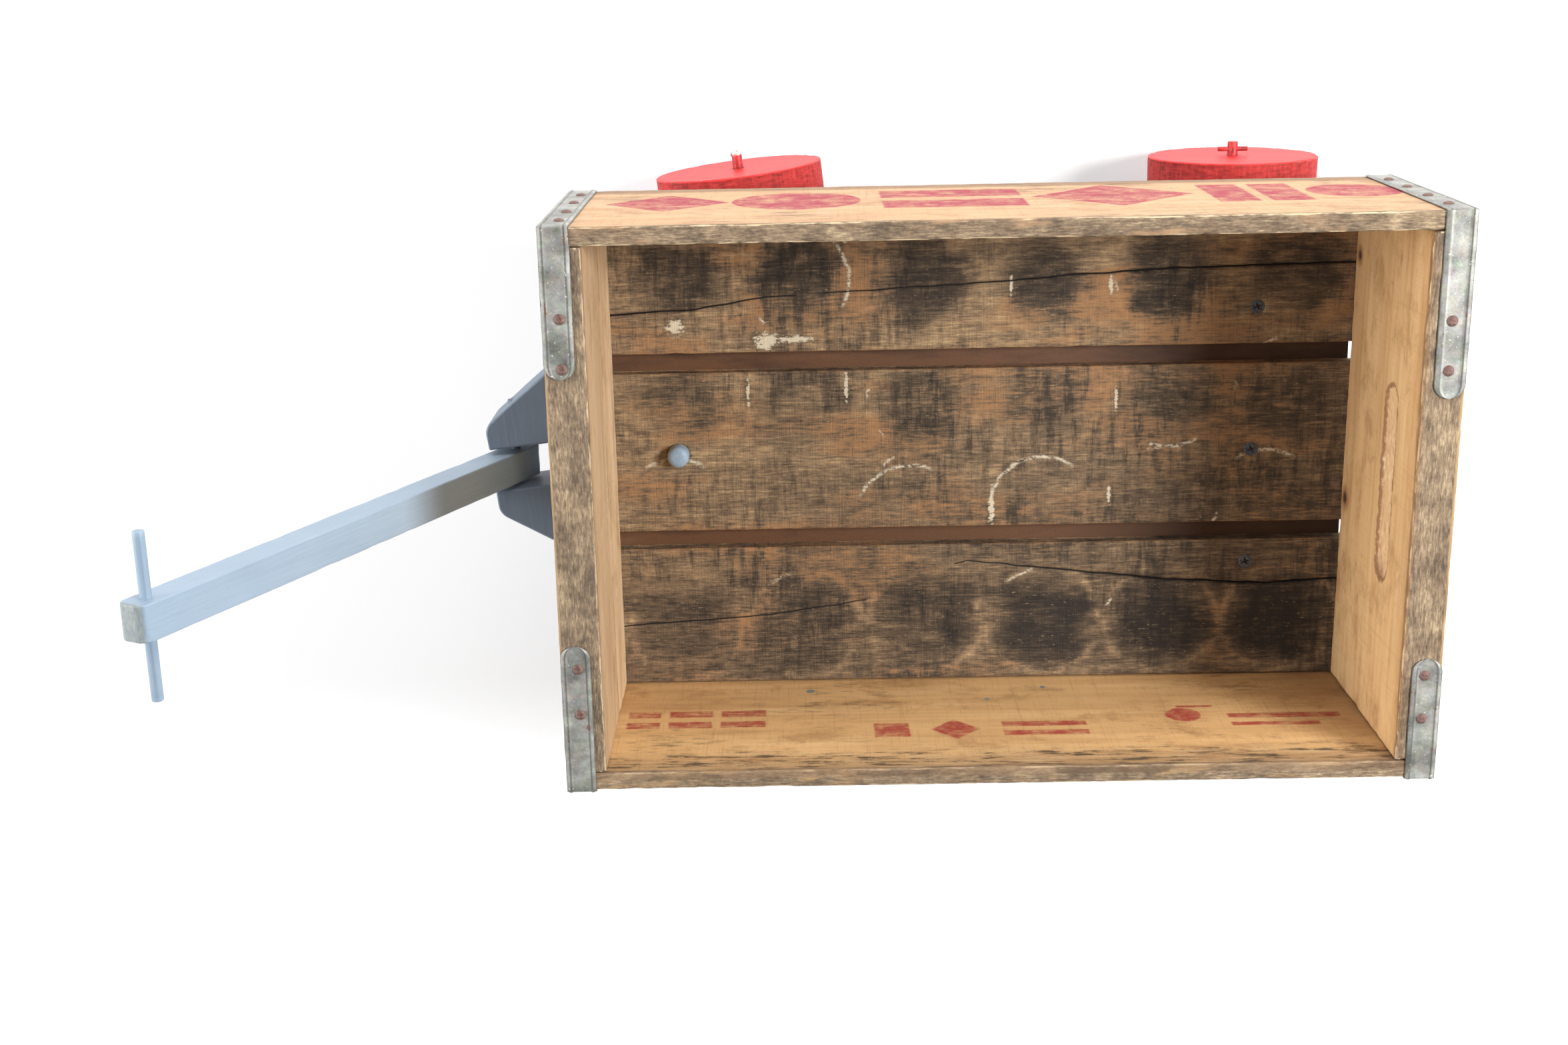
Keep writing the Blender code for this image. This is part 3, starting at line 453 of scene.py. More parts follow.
def rear_board_marks(look, colour, fibre):
    """The roughly cut hand-hold outline, and two knots, on the inner face."""
    colour = weathered_outside(look, colour, fibre, look.step(look.x, 0.3275, 0.3285), 39.0)
    inner = look.step(look.x, 0.3100, 0.3085)
    wobble = look.wobble(look.noise((0.009, 0.005, 0.005), detail=4.0, shift=33.0), 0.006)
    along = look.minus(look.math("ABSOLUTE", look.minus(look.y, HANDHOLD_Y)), HANDHOLD_HALF - HANDHOLD_RADIUS)
    along = look.math("MAXIMUM", along, 0.0)
    rise = look.minus(look.z, HANDHOLD_Z)
    span = look.length(along, rise)
    span = look.math("ADD", span, wobble)
    cut = look.step(span, HANDHOLD_RADIUS + 0.0012, HANDHOLD_RADIUS - 0.0012)
    rim = look.inside(span, HANDHOLD_RADIUS - 0.0006, HANDHOLD_RADIUS + 0.0022, 0.0010)
    torn = look.noise((0.004, 0.006, 0.0022), detail=5.0, rough=0.7, shift=34.0)
    rough_wood = look.ramp(torn, (0.33, srgb(0.64, 0.44, 0.29)), (0.46, srgb(0.90, 0.74, 0.57)),
                           (0.62, srgb(1.0, 0.92, 0.78)))
    colour = look.tint(colour, rough_wood, cut, inner, 0.92)
    colour = look.tint(colour, srgb(0.50, 0.30, 0.17), rim, look.step(torn, 0.30, 0.46), inner, 0.75)
    tail = look.product(look.step(look.total((look.y, 1.0), (torn, 0.012)), -0.034, -0.050), cut, inner)
    colour = look.tint(colour, srgb(0.42, 0.24, 0.13), tail, 0.8)
    amber = look.noise((0.02, 0.030, 0.009), detail=5.0, rough=0.7, shift=38.0)
    upper = look.step(look.total((look.z, 1.0), (amber, 0.030)), 0.262, 0.290)
    colour = look.tint(colour, srgb(0.62, 0.42, 0.22), upper, inner, 0.45)
    for y, z, radius in ((-0.0318, 0.1446, 0.0042), (0.1106, 0.1444, 0.0032)):
        halo = disc(look, look.y, look.z, y, z, radius * 1.7, radius * 0.9)
        core = disc(look, look.y, look.z, y, z, radius * 0.8, radius * 0.4)
        colour = look.tint(colour, srgb(0.52, 0.32, 0.16), halo, inner, 0.7)
        colour = look.tint(colour, srgb(0.22, 0.12, 0.07), core, inner, 0.9)
    return colour


def front_board_marks(look, colour, fibre):
    """Small scratches, a split and a worn band on the inner face."""
    colour = weathered_outside(look, colour, fibre, look.step(look.x, -0.1385, -0.1395), 40.5)
    inner = look.step(look.x, -0.1200, -0.1185)
    scratch = look.noise((0.01, 0.0035, 0.0009), detail=3.0, rough=0.7, shift=36.0)
    near = look.product(look.inside(look.y, -0.030, 0.004, 0.012), look.inside(look.z, 0.150, 0.215, 0.015))
    colour = look.tint(colour, srgb(0.42, 0.27, 0.14), look.step(scratch, 0.55, 0.66), near, inner, 0.8)
    drift = look.noise((0.02, 0.030, 0.02), detail=4.0, rough=0.65, shift=37.0)
    level = look.total((look.z, 1.0), (drift, 0.014), (1.0, -0.007))
    worn = look.product(look.step(level, 0.192, 0.204), look.step(fibre, 0.30, 0.62))
    colour = look.tint(colour, srgb(0.56, 0.45, 0.33), worn, inner, 0.50)
    split = look.product(look.inside(level, 0.1920, 0.1940, 0.0010), look.step(drift, 0.42, 0.54))
    return look.tint(colour, srgb(0.34, 0.20, 0.12), split, inner, 0.75)


# ---------------------------------------------------------------- the stained floor

BOTTLE_PITCH = 0.0711
FIRST_BOTTLE_X = -0.0804
BOTTLE_ROWS = (0.1019, 0.0308, -0.0329, -0.1077)
BOTTLE_RADIUS = 0.034
# Spots and drips of paint: x, y, half length, half width. Rubbed arcs: x, y, radius, from and to angle.
PAINT_SPOTS = ((-0.0812, 0.0743, 0.0060, 0.0050), (-0.0290, 0.0655, 0.0070, 0.0050),
               (-0.0120, 0.0665, 0.0110, 0.0022), (-0.0403, 0.0350, 0.0012, 0.0095),
               (0.0168, 0.0395, 0.0013, 0.0090), (0.1019, -0.0350, 0.0020, 0.0110),
               (0.1737, 0.0270, 0.0012, 0.0080), (0.1690, 0.0960, 0.0013, 0.0070),
               (0.1710, -0.0300, 0.0012, 0.0060), (0.1120, 0.0955, 0.0010, 0.0060))
PAINT_ARCS = ((-0.084, -0.038, 0.034, 62.0, 118.0), (0.054, -0.044, 0.034, 70.0, 150.0),
              (0.131, -0.036, 0.030, 55.0, 175.0), (0.262, -0.036, 0.032, 60.0, 120.0),
              (-0.014, 0.100, 0.033, -25.0, 40.0))


def floor_wood():
    """Grey-brown boards with the dark rounds, pale rings and paint scuffs that bottles left.

    One darkness value, built up from fibre, saw lines, rounds and patches, goes through one ramp, so that
    the stains keep the wood's own texture."""
    look = Look("stained_floor_wood")
    fibre = look.noise((0.0120, 0.0011, 0.002), detail=6.0, rough=0.75, shift=50.0)
    grain = look.noise((0.034, 0.0032, 0.01), detail=6.0, rough=0.70, distort=0.3, shift=50.5)
    saw = look.noise((0.00095, 0.022, 0.02), detail=4.0, rough=0.65, shift=61.0)
    mottle = look.noise((0.0070, 0.0050, 0.006), detail=6.0, rough=0.72, shift=51.0)

    # Distance to the nearest bottle's centre, on a grid of even columns and four rows.
    column = look.math("DIVIDE", look.minus(look.x, FIRST_BOTTLE_X), BOTTLE_PITCH)
    nearest = look.math("ROUND", column)
    du = look.math("MULTIPLY", look.minus(column, nearest), BOTTLE_PITCH)
    spans = []
    for row in BOTTLE_ROWS:
        dv = look.minus(look.y, row)
        spans.append(look.length(du, dv))
    span = spans[0]
    for other in spans[1:]:
        span = look.math("MINIMUM", span, other)
    bend = look.noise((0.030, 0.018, 0.022), detail=5.0, rough=0.65, shift=52.0)
    ragged = look.total((span, 1.0), (bend, 0.048), (mottle, 0.022), (1.0, -0.035))
    round_stain = look.step(ragged, 0.0350, 0.0130)
    centre_fade = look.step(ragged, 0.0150, 0.0020)
    strength = look.step(look.noise((0.066, 0.055, 0.05), detail=1.0, shift=57.5), 0.30, 0.60)
    # Strong on the left slat, weak on the centre slat, growing towards the rear on the right slat.
    right_slat = look.step(look.y, -0.068, -0.084)
    rows = look.total((look.step(look.y, -0.006, 0.006), 0.42), (look.step(look.y, 0.060, 0.074), 0.40),
                      (right_slat, 0.36), (look.product(right_slat, look.step(look.x, -0.10, 0.17)), 0.42),
                      (1.0, 0.06))
    strength = look.product(rows, look.total((strength, 0.75), (1.0, 0.40)))
    ring_span = look.total((span, 1.0), (bend, 0.008), (1.0, -0.004))
    ring = look.inside(ring_span, BOTTLE_RADIUS - 0.0022, BOTTLE_RADIUS + 0.0022, 0.0028)
    broken = look.noise(0.020, detail=4.0, rough=0.65, shift=59.0)
    ring = look.product(ring, look.step(broken, 0.42, 0.60),
                        look.total((right_slat, 0.7), (rows, 0.4), (1.0, 0.3)))

    # Dark scrubs across the boards, and long soot along them, heavier on the right.
    scrub = look.noise((0.0055, 0.034, 0.01), detail=6.0, rough=0.72, distort=0.2, shift=56.0)
    patch = look.noise((0.075, 0.055, 0.05), detail=3.0, rough=0.6, shift=57.0)
    scrub_dark = look.product(look.step(scrub, 0.44, 0.66), look.step(patch, 0.38, 0.60))
    soot = look.noise((0.060, 0.014, 0.01), detail=6.0, rough=0.70, shift=58.0)
    blotch = look.noise((0.018, 0.011, 0.01), detail=6.0, rough=0.74, distort=0.4, shift=58.5)
    lean = look.step(look.total((look.y, -1.0), (look.x, 0.25)), -0.05, 0.15)

    dark = look.total((fibre, 0.78), (grain, 0.46), (saw, 0.10), (mottle, 0.34), (soot, 0.30),
                      (blotch, 0.26), (look.product(round_stain, strength), 0.30),
                      (look.product(centre_fade, strength), -0.07), (scrub_dark, 0.17), (ring, -0.115),
                      (lean, 0.15), (1.0, -0.725))
    colour = look.ramp(dark, (0.22, srgb(0.77, 0.66, 0.49)), (0.35, srgb(0.62, 0.515, 0.385)),
                       (0.48, srgb(0.465, 0.385, 0.295)), (0.64, srgb(0.285, 0.235, 0.18)),
                       (0.84, srgb(0.135, 0.11, 0.09)))
    warm = look.noise((0.09, 0.03, 0.05), detail=3.0, shift=51.5)
    glow = look.product(look.step(warm, 0.46, 0.62), look.step(dark, 0.60, 0.32))
    colour = look.tint(colour, srgb(0.64, 0.445, 0.27), glow, 0.66)

    # Small pale splinters lifted by the bottles.
    pick = look.noise((0.0050, 0.0009, 0.002), detail=3.0, rough=0.75, shift=65.0)
    colour = look.tint(colour, srgb(0.73, 0.64, 0.51), look.step(pick, 0.635, 0.70), 0.60)

    # Off-white paint: rubbed arcs, and a few spots and drips.
    chipped = look.noise((0.0035, 0.0018, 0.003), detail=5.0, rough=0.78, shift=60.0)
    where = look.step(look.noise((0.040, 0.035, 0.03), detail=2.0, shift=66.0), 0.665, 0.69)
    arc = look.inside(ring_span, BOTTLE_RADIUS - 0.0020, BOTTLE_RADIUS - 0.0004, 0.0007)
    paint = look.product(look.step(chipped, 0.46, 0.53), arc, where)
    spots = []
    for x, y, long, wide in PAINT_SPOTS:
        du = look.math("DIVIDE", look.minus(look.x, x), long)
        dv = look.math("DIVIDE", look.minus(look.y, y), wide)
        reach = look.length(du, dv)
        reach = look.total((reach, 1.0), (chipped, 4.0), (bend, 1.2), (1.0, -2.5))
        spots.append(look.step(reach, 1.0, 0.80))
    for x, y, radius, start, stop in PAINT_ARCS:
        du = look.minus(look.x, x)
        dv = look.minus(look.y, y)
        reach = look.length(du, dv)
        reach = look.total((reach, 1.0), (mottle, 0.004), (1.0, -0.002))
        stroke = look.inside(reach, radius - 0.0009, radius + 0.0009, 0.0008)
        angle = look.math("ARCTAN2", dv, du)
        stroke = look.product(stroke, look.inside(angle, math.radians(start), math.radians(stop), 0.10))
        spots.append(look.product(stroke, look.step(chipped, 0.44, 0.50)))
    paint = look.math("MAXIMUM", paint, any_of(look, spots))
    upper = look.step(look.z, 0.1335, 0.1350)
    colour = look.tint(colour, srgb(0.88, 0.83, 0.73), paint, upper, 0.90)

    # Pale worn edges, black inside the cracks, and painted shade in the pits round the fixings.
    edge = look.attribute("edge")
    colour = look.tint(colour, srgb(0.60, 0.43, 0.27),
                       look.step(look.total((edge, 1.0), (mottle, -0.9)), 0.30, 0.62), 0.60)
    crack_and_pit_shade = look.attribute("crack_and_pit_shade")
    colour = look.mix(colour, srgb(0.06, 0.045, 0.035), look.step(crack_and_pit_shade, 0.25, 0.75))
    height = look.total((fibre, 1.0), (saw, 0.8), (pick, 0.6), (mottle, 0.5), (paint, 0.4))
    look.finish(colour, look.total((fibre, 0.16), (1.0, 0.70)), height, depth=0.0008, strength=0.9)
    return look.material


# ---------------------------------------------------------------- other materials

def hardboard():
    look = Look("hardboard")
    cloud = look.noise((0.05, 0.012, 0.012), detail=3.0, shift=70.0)
    fibre = look.noise((0.0020, 0.0012, 0.0012), detail=4.0, rough=0.7, shift=71.0)
    value = look.total((cloud, 0.8), (fibre, 0.25))
    colour = look.ramp(value, (0.35, srgb(0.27, 0.165, 0.092)), (0.60, srgb(0.405, 0.26, 0.148)),
                       (0.80, srgb(0.49, 0.33, 0.195)))
    # Painted shade: darker towards the rear, standing for the shade in the gaps there; the cloudy dark
    # patches are the board's own tone.
    darkening = look.total((look.step(look.x, 0.10, 0.31), 0.62), (look.step(cloud, 0.50, 0.62), 0.25))
    colour = look.mix(colour, srgb(0.17, 0.105, 0.065), darkening)
    return look.finish(colour, look.total((fibre, 0.2), (1.0, 0.50)), fibre, depth=0.00015)


def galvanised():
    look = Look("galvanised_steel", metallic=0.40)
    spangle = look.cells(0.0045, shift=80.0)
    cloud = look.noise(0.016, detail=5.0, rough=0.65, shift=81.0)
    fine = look.noise(0.0012, detail=3.0, rough=0.7, shift=82.0)
    colour = look.ramp(look.total((cloud, 0.80), (fine, 0.20)), (0.34, srgb(0.40, 0.40, 0.38)),
                       (0.50, srgb(0.575, 0.575, 0.55)), (0.68, srgb(0.73, 0.73, 0.70)))
    colour = look.mix(colour, spangle, 0.05, "OVERLAY")
    groove = look.attribute("edge")
    colour = look.tint(colour, srgb(0.31, 0.31, 0.295), look.step(groove, 0.25, 0.75), 0.70)
    rust = look.total((look.noise(0.010, detail=5.0, rough=0.7, shift=83.0), 1.0), (groove, 0.16))
    rust = look.step(rust, 0.66, 0.76)
    colour = look.tint(colour, srgb(0.42, 0.29, 0.19), rust, 0.75)
    white = look.noise(0.0018, detail=1.0, shift=84.0)
    colour = look.tint(colour, srgb(0.86, 0.87, 0.84), look.step(white, 0.70, 0.76), 0.7)
    roughness = look.total((cloud, 0.30), (rust, 0.30), (1.0, 0.36))
    return look.finish(colour, roughness, look.total((fine, 0.5), (cloud, 0.6), (rust, 0.4)), depth=0.0002)


def rusty_nail():
    look = Look("rusty_nail", metallic=0.35)
    pits = look.noise(0.0009, detail=4.0, rough=0.7, shift=90.0)
    cloud = look.noise(0.006, detail=2.0, shift=91.0)
    colour = look.ramp(look.total((pits, 0.5), (cloud, 0.5)), (0.33, srgb(0.26, 0.17, 0.15)),
                       (0.52, srgb(0.46, 0.35, 0.32)), (0.70, srgb(0.62, 0.52, 0.47)))
    return look.finish(colour, look.total((pits, 0.3), (1.0, 0.42)), pits, depth=0.0003)


def black_screw():
    look = Look("black_screw", metallic=0.6)
    fine = look.noise(0.0010, detail=3.0, rough=0.7, shift=95.0)
    colour = look.ramp(fine, (0.35, srgb(0.24, 0.26, 0.29)), (0.65, srgb(0.44, 0.47, 0.50)))
    return look.finish(colour, look.total((fine, 0.3), (1.0, 0.35)), fine, depth=0.0001)


def bright_steel():
    look = Look("bare_steel", metallic=0.85)
    fine = look.noise(0.0009, detail=4.0, rough=0.7, shift=98.0)
    colour = look.ramp(fine, (0.35, srgb(0.55, 0.52, 0.52)), (0.65, srgb(0.84, 0.84, 0.85)))
    return look.finish(colour, look.total((fine, 0.3), (1.0, 0.25)), fine, depth=0.0002)


POLE_BLUES = (srgb(0.470, 0.545, 0.615), srgb(0.525, 0.600, 0.670), srgb(0.590, 0.660, 0.725))
# Painted shade: the pole's blue made darker, for the parts that sit in the crate's shade: the fork, the hinge
# pin and the blocks under the bed.
SHADE_DARKENED_BLUES = (srgb(0.31, 0.355, 0.41), srgb(0.345, 0.395, 0.455), srgb(0.395, 0.445, 0.505))


def blue_paint(name, axis, seed, tones, end_grain=False):
    """Satin blue-grey paint brushed along a piece of softwood, rubbed through at its edges."""
    look = Look(name)
    brush = look.noise(lie(axis, 0.060, 0.0012), detail=3.0, rough=0.6, shift=seed)
    grain = look.noise(lie(axis, 0.035, 0.0022), detail=4.0, rough=0.65, shift=seed + 1.0)
    cloud = look.noise(0.05, detail=3.0, shift=seed + 2.0)
    value = look.total((brush, 0.40), (cloud, 0.45), (grain, 0.15))
    colour = look.ramp(value, (0.34, tones[0]), (0.52, tones[1]), (0.70, tones[2]))
    colour = look.tint(colour, srgb(0.30, 0.35, 0.41), look.step(grain, 0.36, 0.26), 0.5)
    edge = look.attribute("edge")
    chip = look.noise(lie(axis, 0.010, 0.004), detail=5.0, rough=0.7, shift=seed + 3.0)
    mask = look.step(look.total((edge, 0.30), (chip, 1.0)), 0.99, 1.02)
    wood = look.ramp(grain, (0.35, srgb(0.62, 0.50, 0.36)), (0.65, srgb(0.80, 0.70, 0.54)))
    colour = look.tint(colour, wood, mask, 0.85)
    colour = look.tint(colour, tones[2], look.step(edge, 0.6, 1.0), 0.5)
    dirt = look.noise(0.012, detail=5.0, rough=0.7, shift=seed + 4.0)
    colour = look.tint(colour, srgb(0.36, 0.38, 0.40), look.step(dirt, 0.66, 0.80), 0.5)
    if end_grain:
        tip = look.step(look.x, -0.3165, -0.3185)
        rings = look.noise((0.002, 0.004, 0.0011), detail=3.0, shift=seed + 5.0)
        pale = look.ramp(rings, (0.3, srgb(0.42, 0.45, 0.45)), (0.7, srgb(0.57, 0.585, 0.55)))
        colour = look.tint(colour, pale, tip, 0.8)
    roughness = look.total((brush, 0.20), (mask, 0.25), (1.0, 0.38))
    height = look.total((brush, 0.6), (grain, 0.9), (mask, -0.6))
    return look.finish(colour, roughness, height, depth=0.00025, strength=0.6)


def red_wheel_paint(name, seed):
    """Red paint on a sawn wooden disc. In the wheel's own frame its axle runs along Z."""
    look = Look(name)
    grain = look.noise((0.045, 0.0024, 0.02), detail=4.0, rough=0.65, shift=seed)
    cloud = look.noise(0.025, detail=4.0, rough=0.6, shift=seed + 1.0)
    colour = look.ramp(look.total((grain, 0.4), (cloud, 0.6)), (0.34, srgb(0.72, 0.14, 0.14)),
                       (0.52, srgb(0.82, 0.19, 0.19)), (0.72, srgb(0.88, 0.25, 0.25)))
    tread = look.attribute("tread")
    saw = look.noise((0.0022, 0.0022, 0.012), detail=4.0, rough=0.7, shift=seed + 2.0)
    slant = look.noise((0.006, 0.006, 0.0016), detail=3.0, rough=0.65, shift=seed + 3.0)
    dull = look.ramp(look.total((saw, 0.5), (slant, 0.5)), (0.36, srgb(0.44, 0.15, 0.13)),
                     (0.52, srgb(0.68, 0.20, 0.19)), (0.70, srgb(0.78, 0.28, 0.26)))
    colour = look.tint(colour, dull, tread, 0.9)
    edge = look.attribute("edge")
    chip = look.noise((0.006, 0.006, 0.004), detail=5.0, rough=0.72, shift=seed + 4.0)
    bare = look.step(look.total((edge, 0.30), (tread, 0.10), (chip, 1.0)), 0.92, 0.98)
    colour = look.tint(colour, srgb(0.47, 0.33, 0.24), bare, 0.8)
    white = look.noise((0.0026, 0.0026, 0.0030), detail=3.0, rough=0.7, shift=seed + 5.0)
    white = look.step(look.total((edge, 0.10), (white, 1.0)), 0.80, 0.84)
    colour = look.tint(colour, srgb(0.90, 0.84, 0.78), white, 0.85)
    radius = look.length(look.x, look.y)
    hub = look.step(look.total((radius, 1.0), (chip, 0.004)), 0.0085, 0.0062)
    colour = look.tint(colour, srgb(0.50, 0.10, 0.10), hub, 0.6)
    roughness = look.total((cloud, 0.15), (tread, 0.22), (bare, 0.2), (1.0, 0.38))
    height = look.total((grain, 0.5), (look.product(saw, tread), 1.6), (look.product(slant, tread), 1.6),
                        (bare, -0.6))
    look.shader.inputs["Specular IOR Level"].default_value = 0.18
    return look.finish(colour, roughness, height, depth=0.0004, strength=0.7)


def red_axle_paint(name, bare_beyond=None):
    """Red paint on a rod along its own Z, bare where it is broken off beyond a height."""
    look = Look(name, metallic=0.1)
    cloud = look.noise(0.004, detail=4.0, rough=0.7, shift=110.0)
    colour = look.ramp(cloud, (0.35, srgb(0.50, 0.09, 0.09)), (0.55, srgb(0.72, 0.15, 0.16)),
                       (0.75, srgb(0.84, 0.32, 0.30)))
    worn = look.step(look.noise(0.0025, detail=4.0, rough=0.75, shift=111.0), 0.62, 0.68)
    colour = look.tint(colour, srgb(0.62, 0.54, 0.50), worn, 0.7)
    if bare_beyond is not None:
        value = look.total((look.z, 1.0), (cloud, 0.004), (1.0, -0.002))
        colour = look.mix(colour, srgb(0.80, 0.76, 0.74),
                          look.step(value, bare_beyond - 0.0008, bare_beyond + 0.0004))
    return look.finish(colour, look.total((cloud, 0.2), (1.0, 0.40)), cloud, depth=0.0003)


def bare_peg():
    look = Look("bare_peg_wood")
    rings, figure, fibre = grain_of(look, "Y", 120.0, pitch=0.0012, swirl=0.6)
    colour = look.ramp(look.total((rings, 0.3), (figure, 0.4), (fibre, 0.4)), (0.3, srgb(0.60, 0.45, 0.28)),
                       (0.55, srgb(0.75, 0.60, 0.41)), (0.8, srgb(0.84, 0.72, 0.54)))
    return look.finish(colour, look.total((fibre, 0.2), (1.0, 0.6)), fibre, depth=0.0002)


# ---------------------------------------------------------------- mesh building

def wave(point, size, seed=0.0):
    """Smooth noise from -1 to 1 with features about this size."""
    return noise.noise(Vector(point) / size + Vector((seed * 3.1, seed * 1.7, seed * 2.3)))


def place_piece(name, bm, material, body, nodes, matrix=None, sharp=50.0):
    """Turns a bmesh into a piece that rides on a body and stands for CAD nodes."""
    bmesh.ops.recalc_face_normals(bm, faces=bm.faces)
    mesh = bpy.data.meshes.new(name)
    bm.to_mesh(mesh)
    bm.free()
    mesh.materials.append(material)
    mesh.shade_smooth()
    mesh.set_sharp_from_angle(angle=math.radians(sharp))
    piece = bpy.data.objects.new(name, mesh)
    bpy.context.scene.collection.objects.link(piece)
    if matrix is not None:
        piece.matrix_world = matrix
    bpy.context.view_layer.update()
    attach(piece, body)
    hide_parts(*nodes)
    return piece


def stations(low, high, step, bands=()):
    """Grid lines from low to high: close together near both ends and inside the bands."""
    tight = (0.0, 0.0004, 0.0009, 0.0016, 0.0028)
    span = high - low
    marks = {low + d for d in tight if d < span / 2} | {high - d for d in tight if d < span / 2}
    start, stop = low + tight[-1] + step * 0.6, high - tight[-1] - step * 0.6
    if stop > start:
        count = max(1, round((stop - start) / step))
        marks |= {start + (stop - start) * k / count for k in range(count + 1)}
    for first, last, pitch in bands:
        marks = {m for m in marks if m < first - pitch * 0.5 or m > last + pitch * 0.5}
        count = max(1, round((last - first) / pitch))
        marks |= {first + (last - first) * k / count for k in range(count + 1)}
    return sorted(marks)


def plank(low, high, steps, corner, chips=1.0, ripple=0.00012, seed=0.0, relief=None, bands=None,
          bend=None):
    """A board with worn, uneven edges as a bmesh. relief(point, normal) gives the depth to press the surface
    in by and how dark to paint it there (black in cracks, painted shade in pits); bend(point) slides the grid
    lines; bands adds close grid lines per axis."""
    bands = bands or {}
    lines = [stations(low[i], high[i], steps[i], bands.get("XYZ"[i], ())) for i in range(3)]
    last = [len(line) - 1 for line in lines]
    bm = bmesh.new()
    edge_layer = bm.verts.layers.float.new("edge")
    crack_and_pit_shade_layer = bm.verts.layers.float.new("crack_and_pit_shade")
    made = {}

    def shaped(key):
        point = Vector([lines[i][key[i]] for i in range(3)])
        gaps = sorted(min(point[i] - low[i], high[i] - point[i]) for i in range(3))
        if bend:
            point = point + bend(point)
        nick = (max(0.0, wave(point, 0.009, seed) - 0.15)
                + 0.6 * max(0.0, wave(point, 0.0025, seed + 5.0) - 0.1))
        radius = corner * (1.0 + chips * 1.6 * nick)
        core = Vector([min(max(point[i], low[i] + radius), high[i] - radius) for i in range(3)])
        out = point - core
        if out.length < 1e-9:
            out = Vector((0, 0, 1))
        normal = out.normalized()
        point = core + normal * min(radius, out.length) if gaps[1] < radius else point
        depth = ripple * (1.0 + wave(point, 0.030, seed + 2.0))
        crack_and_pit_shade = 0.0
        if relief:
            pressed, crack_and_pit_shade = relief(point, normal)
            depth += pressed
        vert = bm.verts.new(point - normal * depth)
        vert[edge_layer] = max(0.0, 1.0 - gaps[1] / 0.0045)
        vert[crack_and_pit_shade_layer] = crack_and_pit_shade
        return vert

    def corner_vert(key):
        if key not in made:
            made[key] = shaped(key)
        return made[key]

    for axis in range(3):
        first, second = [i for i in range(3) if i != axis]
        for side in (0, last[axis]):
            for i in range(last[first]):
                for j in range(last[second]):
                    quad = []
                    for di, dj in ((0, 0), (1, 0), (1, 1), (0, 1)):
                        key = [0, 0, 0]
                        key[axis], key[first], key[second] = side, i + di, j + dj
                        quad.append(corner_vert(tuple(key)))
                    bm.faces.new(quad)
    return bm


def turned(profile, steps, seed=0.0, wobble=0.0, chips=0.0):
    """A turned solid about local Z from (radius, height, edge, tread) rows, as a bmesh."""
    bm = bmesh.new()
    edge_layer = bm.verts.layers.float.new("edge")
    tread_layer = bm.verts.layers.float.new("tread")
    rings = []
    middle = sum(row[1] for row in profile) / len(profile)
    for radius, height, edge, tread in profile:
        ring = []
        for i in range(steps if radius else 1):
            angle = 2.0 * math.pi * i / steps
            point = Vector((radius * math.cos(angle), radius * math.sin(angle), height))
            nick = max(0.0, wave(point, 0.006, seed) - 0.1) * chips * edge
            pull = wobble * (1.0 + wave(point, 0.012, seed + 1.0)) * tread + nick
            lift = wobble * 0.5 * (1.0 + wave(point, 0.020, seed + 2.0)) * (1.0 - tread) + nick
            scale = (radius - pull) / radius if radius else 1.0
            toward = -1.0 if height > middle else 1.0
            vert = bm.verts.new((point.x * scale, point.y * scale, height + toward * lift))
            vert[edge_layer] = edge
            vert[tread_layer] = tread
            ring.append(vert)
        rings.append(ring)
    pairs = list(zip(rings, rings[1:]))
    if len(rings[0]) > 1 and len(rings[-1]) > 1:
        pairs.append((rings[-1], rings[0]))
    for one, two in pairs:
        for i in range(steps):
            j = (i + 1) % steps
            loop = [one[i % len(one)], one[j % len(one)], two[j % len(two)], two[i % len(two)]]
            loop = list(dict.fromkeys(loop))
            if len(loop) > 2:
                bm.faces.new(loop)
    bmesh.ops.recalc_face_normals(bm, faces=bm.faces)
    return bm


def rod_rows(radius, low, high, chamfer):
    """Rows for a rod with softly rounded ends."""
    rows = [(0.0, low, 0.0, 0.0), (radius - chamfer, low, 0.6, 0.0)]
    rows += [(radius - chamfer * (1.0 - math.sin(a)), low + chamfer * (1.0 - math.cos(a)), 1.0, 0.0)
             for a in (math.radians(30), math.radians(60))]
    count = max(2, round((high - low) / 0.006))
    for k in range(count + 1):
        height = low + chamfer + (high - low - 2.0 * chamfer) * k / count
        rows.append((radius, height, 1.0 if k in (0, count) else 0.0, 1.0))
    rows += [(radius - chamfer * (1.0 - math.sin(a)), high - chamfer * (1.0 - math.cos(a)), 1.0, 0.0)
             for a in (math.radians(60), math.radians(30))]
    rows += [(radius - chamfer, high, 0.6, 0.0), (0.0, high, 0.0, 0.0)]
    return rows


def facing(direction, origin):
    """The matrix that carries local +Z onto a direction."""
    return Matrix.Translation(origin) @ Vector(direction).to_track_quat("Z", "Y").to_matrix().to_4x4()


def middle_of(node):
    low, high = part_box(node)
    return (low + high) / 2


def carve(piece, cutter_bm):
    """Cuts a bmesh out of a piece for good."""
    bmesh.ops.recalc_face_normals(cutter_bm, faces=cutter_bm.faces)
    mesh = bpy.data.meshes.new("cutter")
    cutter_bm.to_mesh(mesh)
    cutter_bm.free()
    cutter = bpy.data.objects.new("cutter", mesh)
    bpy.context.scene.collection.objects.link(cutter)
    cutter.matrix_world = piece.matrix_world
    modifier = piece.modifiers.new("carve", "BOOLEAN")
    modifier.operation = "DIFFERENCE"
    modifier.solver = "EXACT"
    modifier.use_self = True
    modifier.object = cutter
    bpy.context.view_layer.update()
    graph = bpy.context.evaluated_depsgraph_get()
    carved = bpy.data.meshes.new_from_object(piece.evaluated_get(graph))
    piece.modifiers.remove(modifier)
    piece.data = carved
    bpy.data.objects.remove(cutter, do_unlink=True)
    bpy.data.meshes.remove(mesh)


# ---------------------------------------------------------------- crate

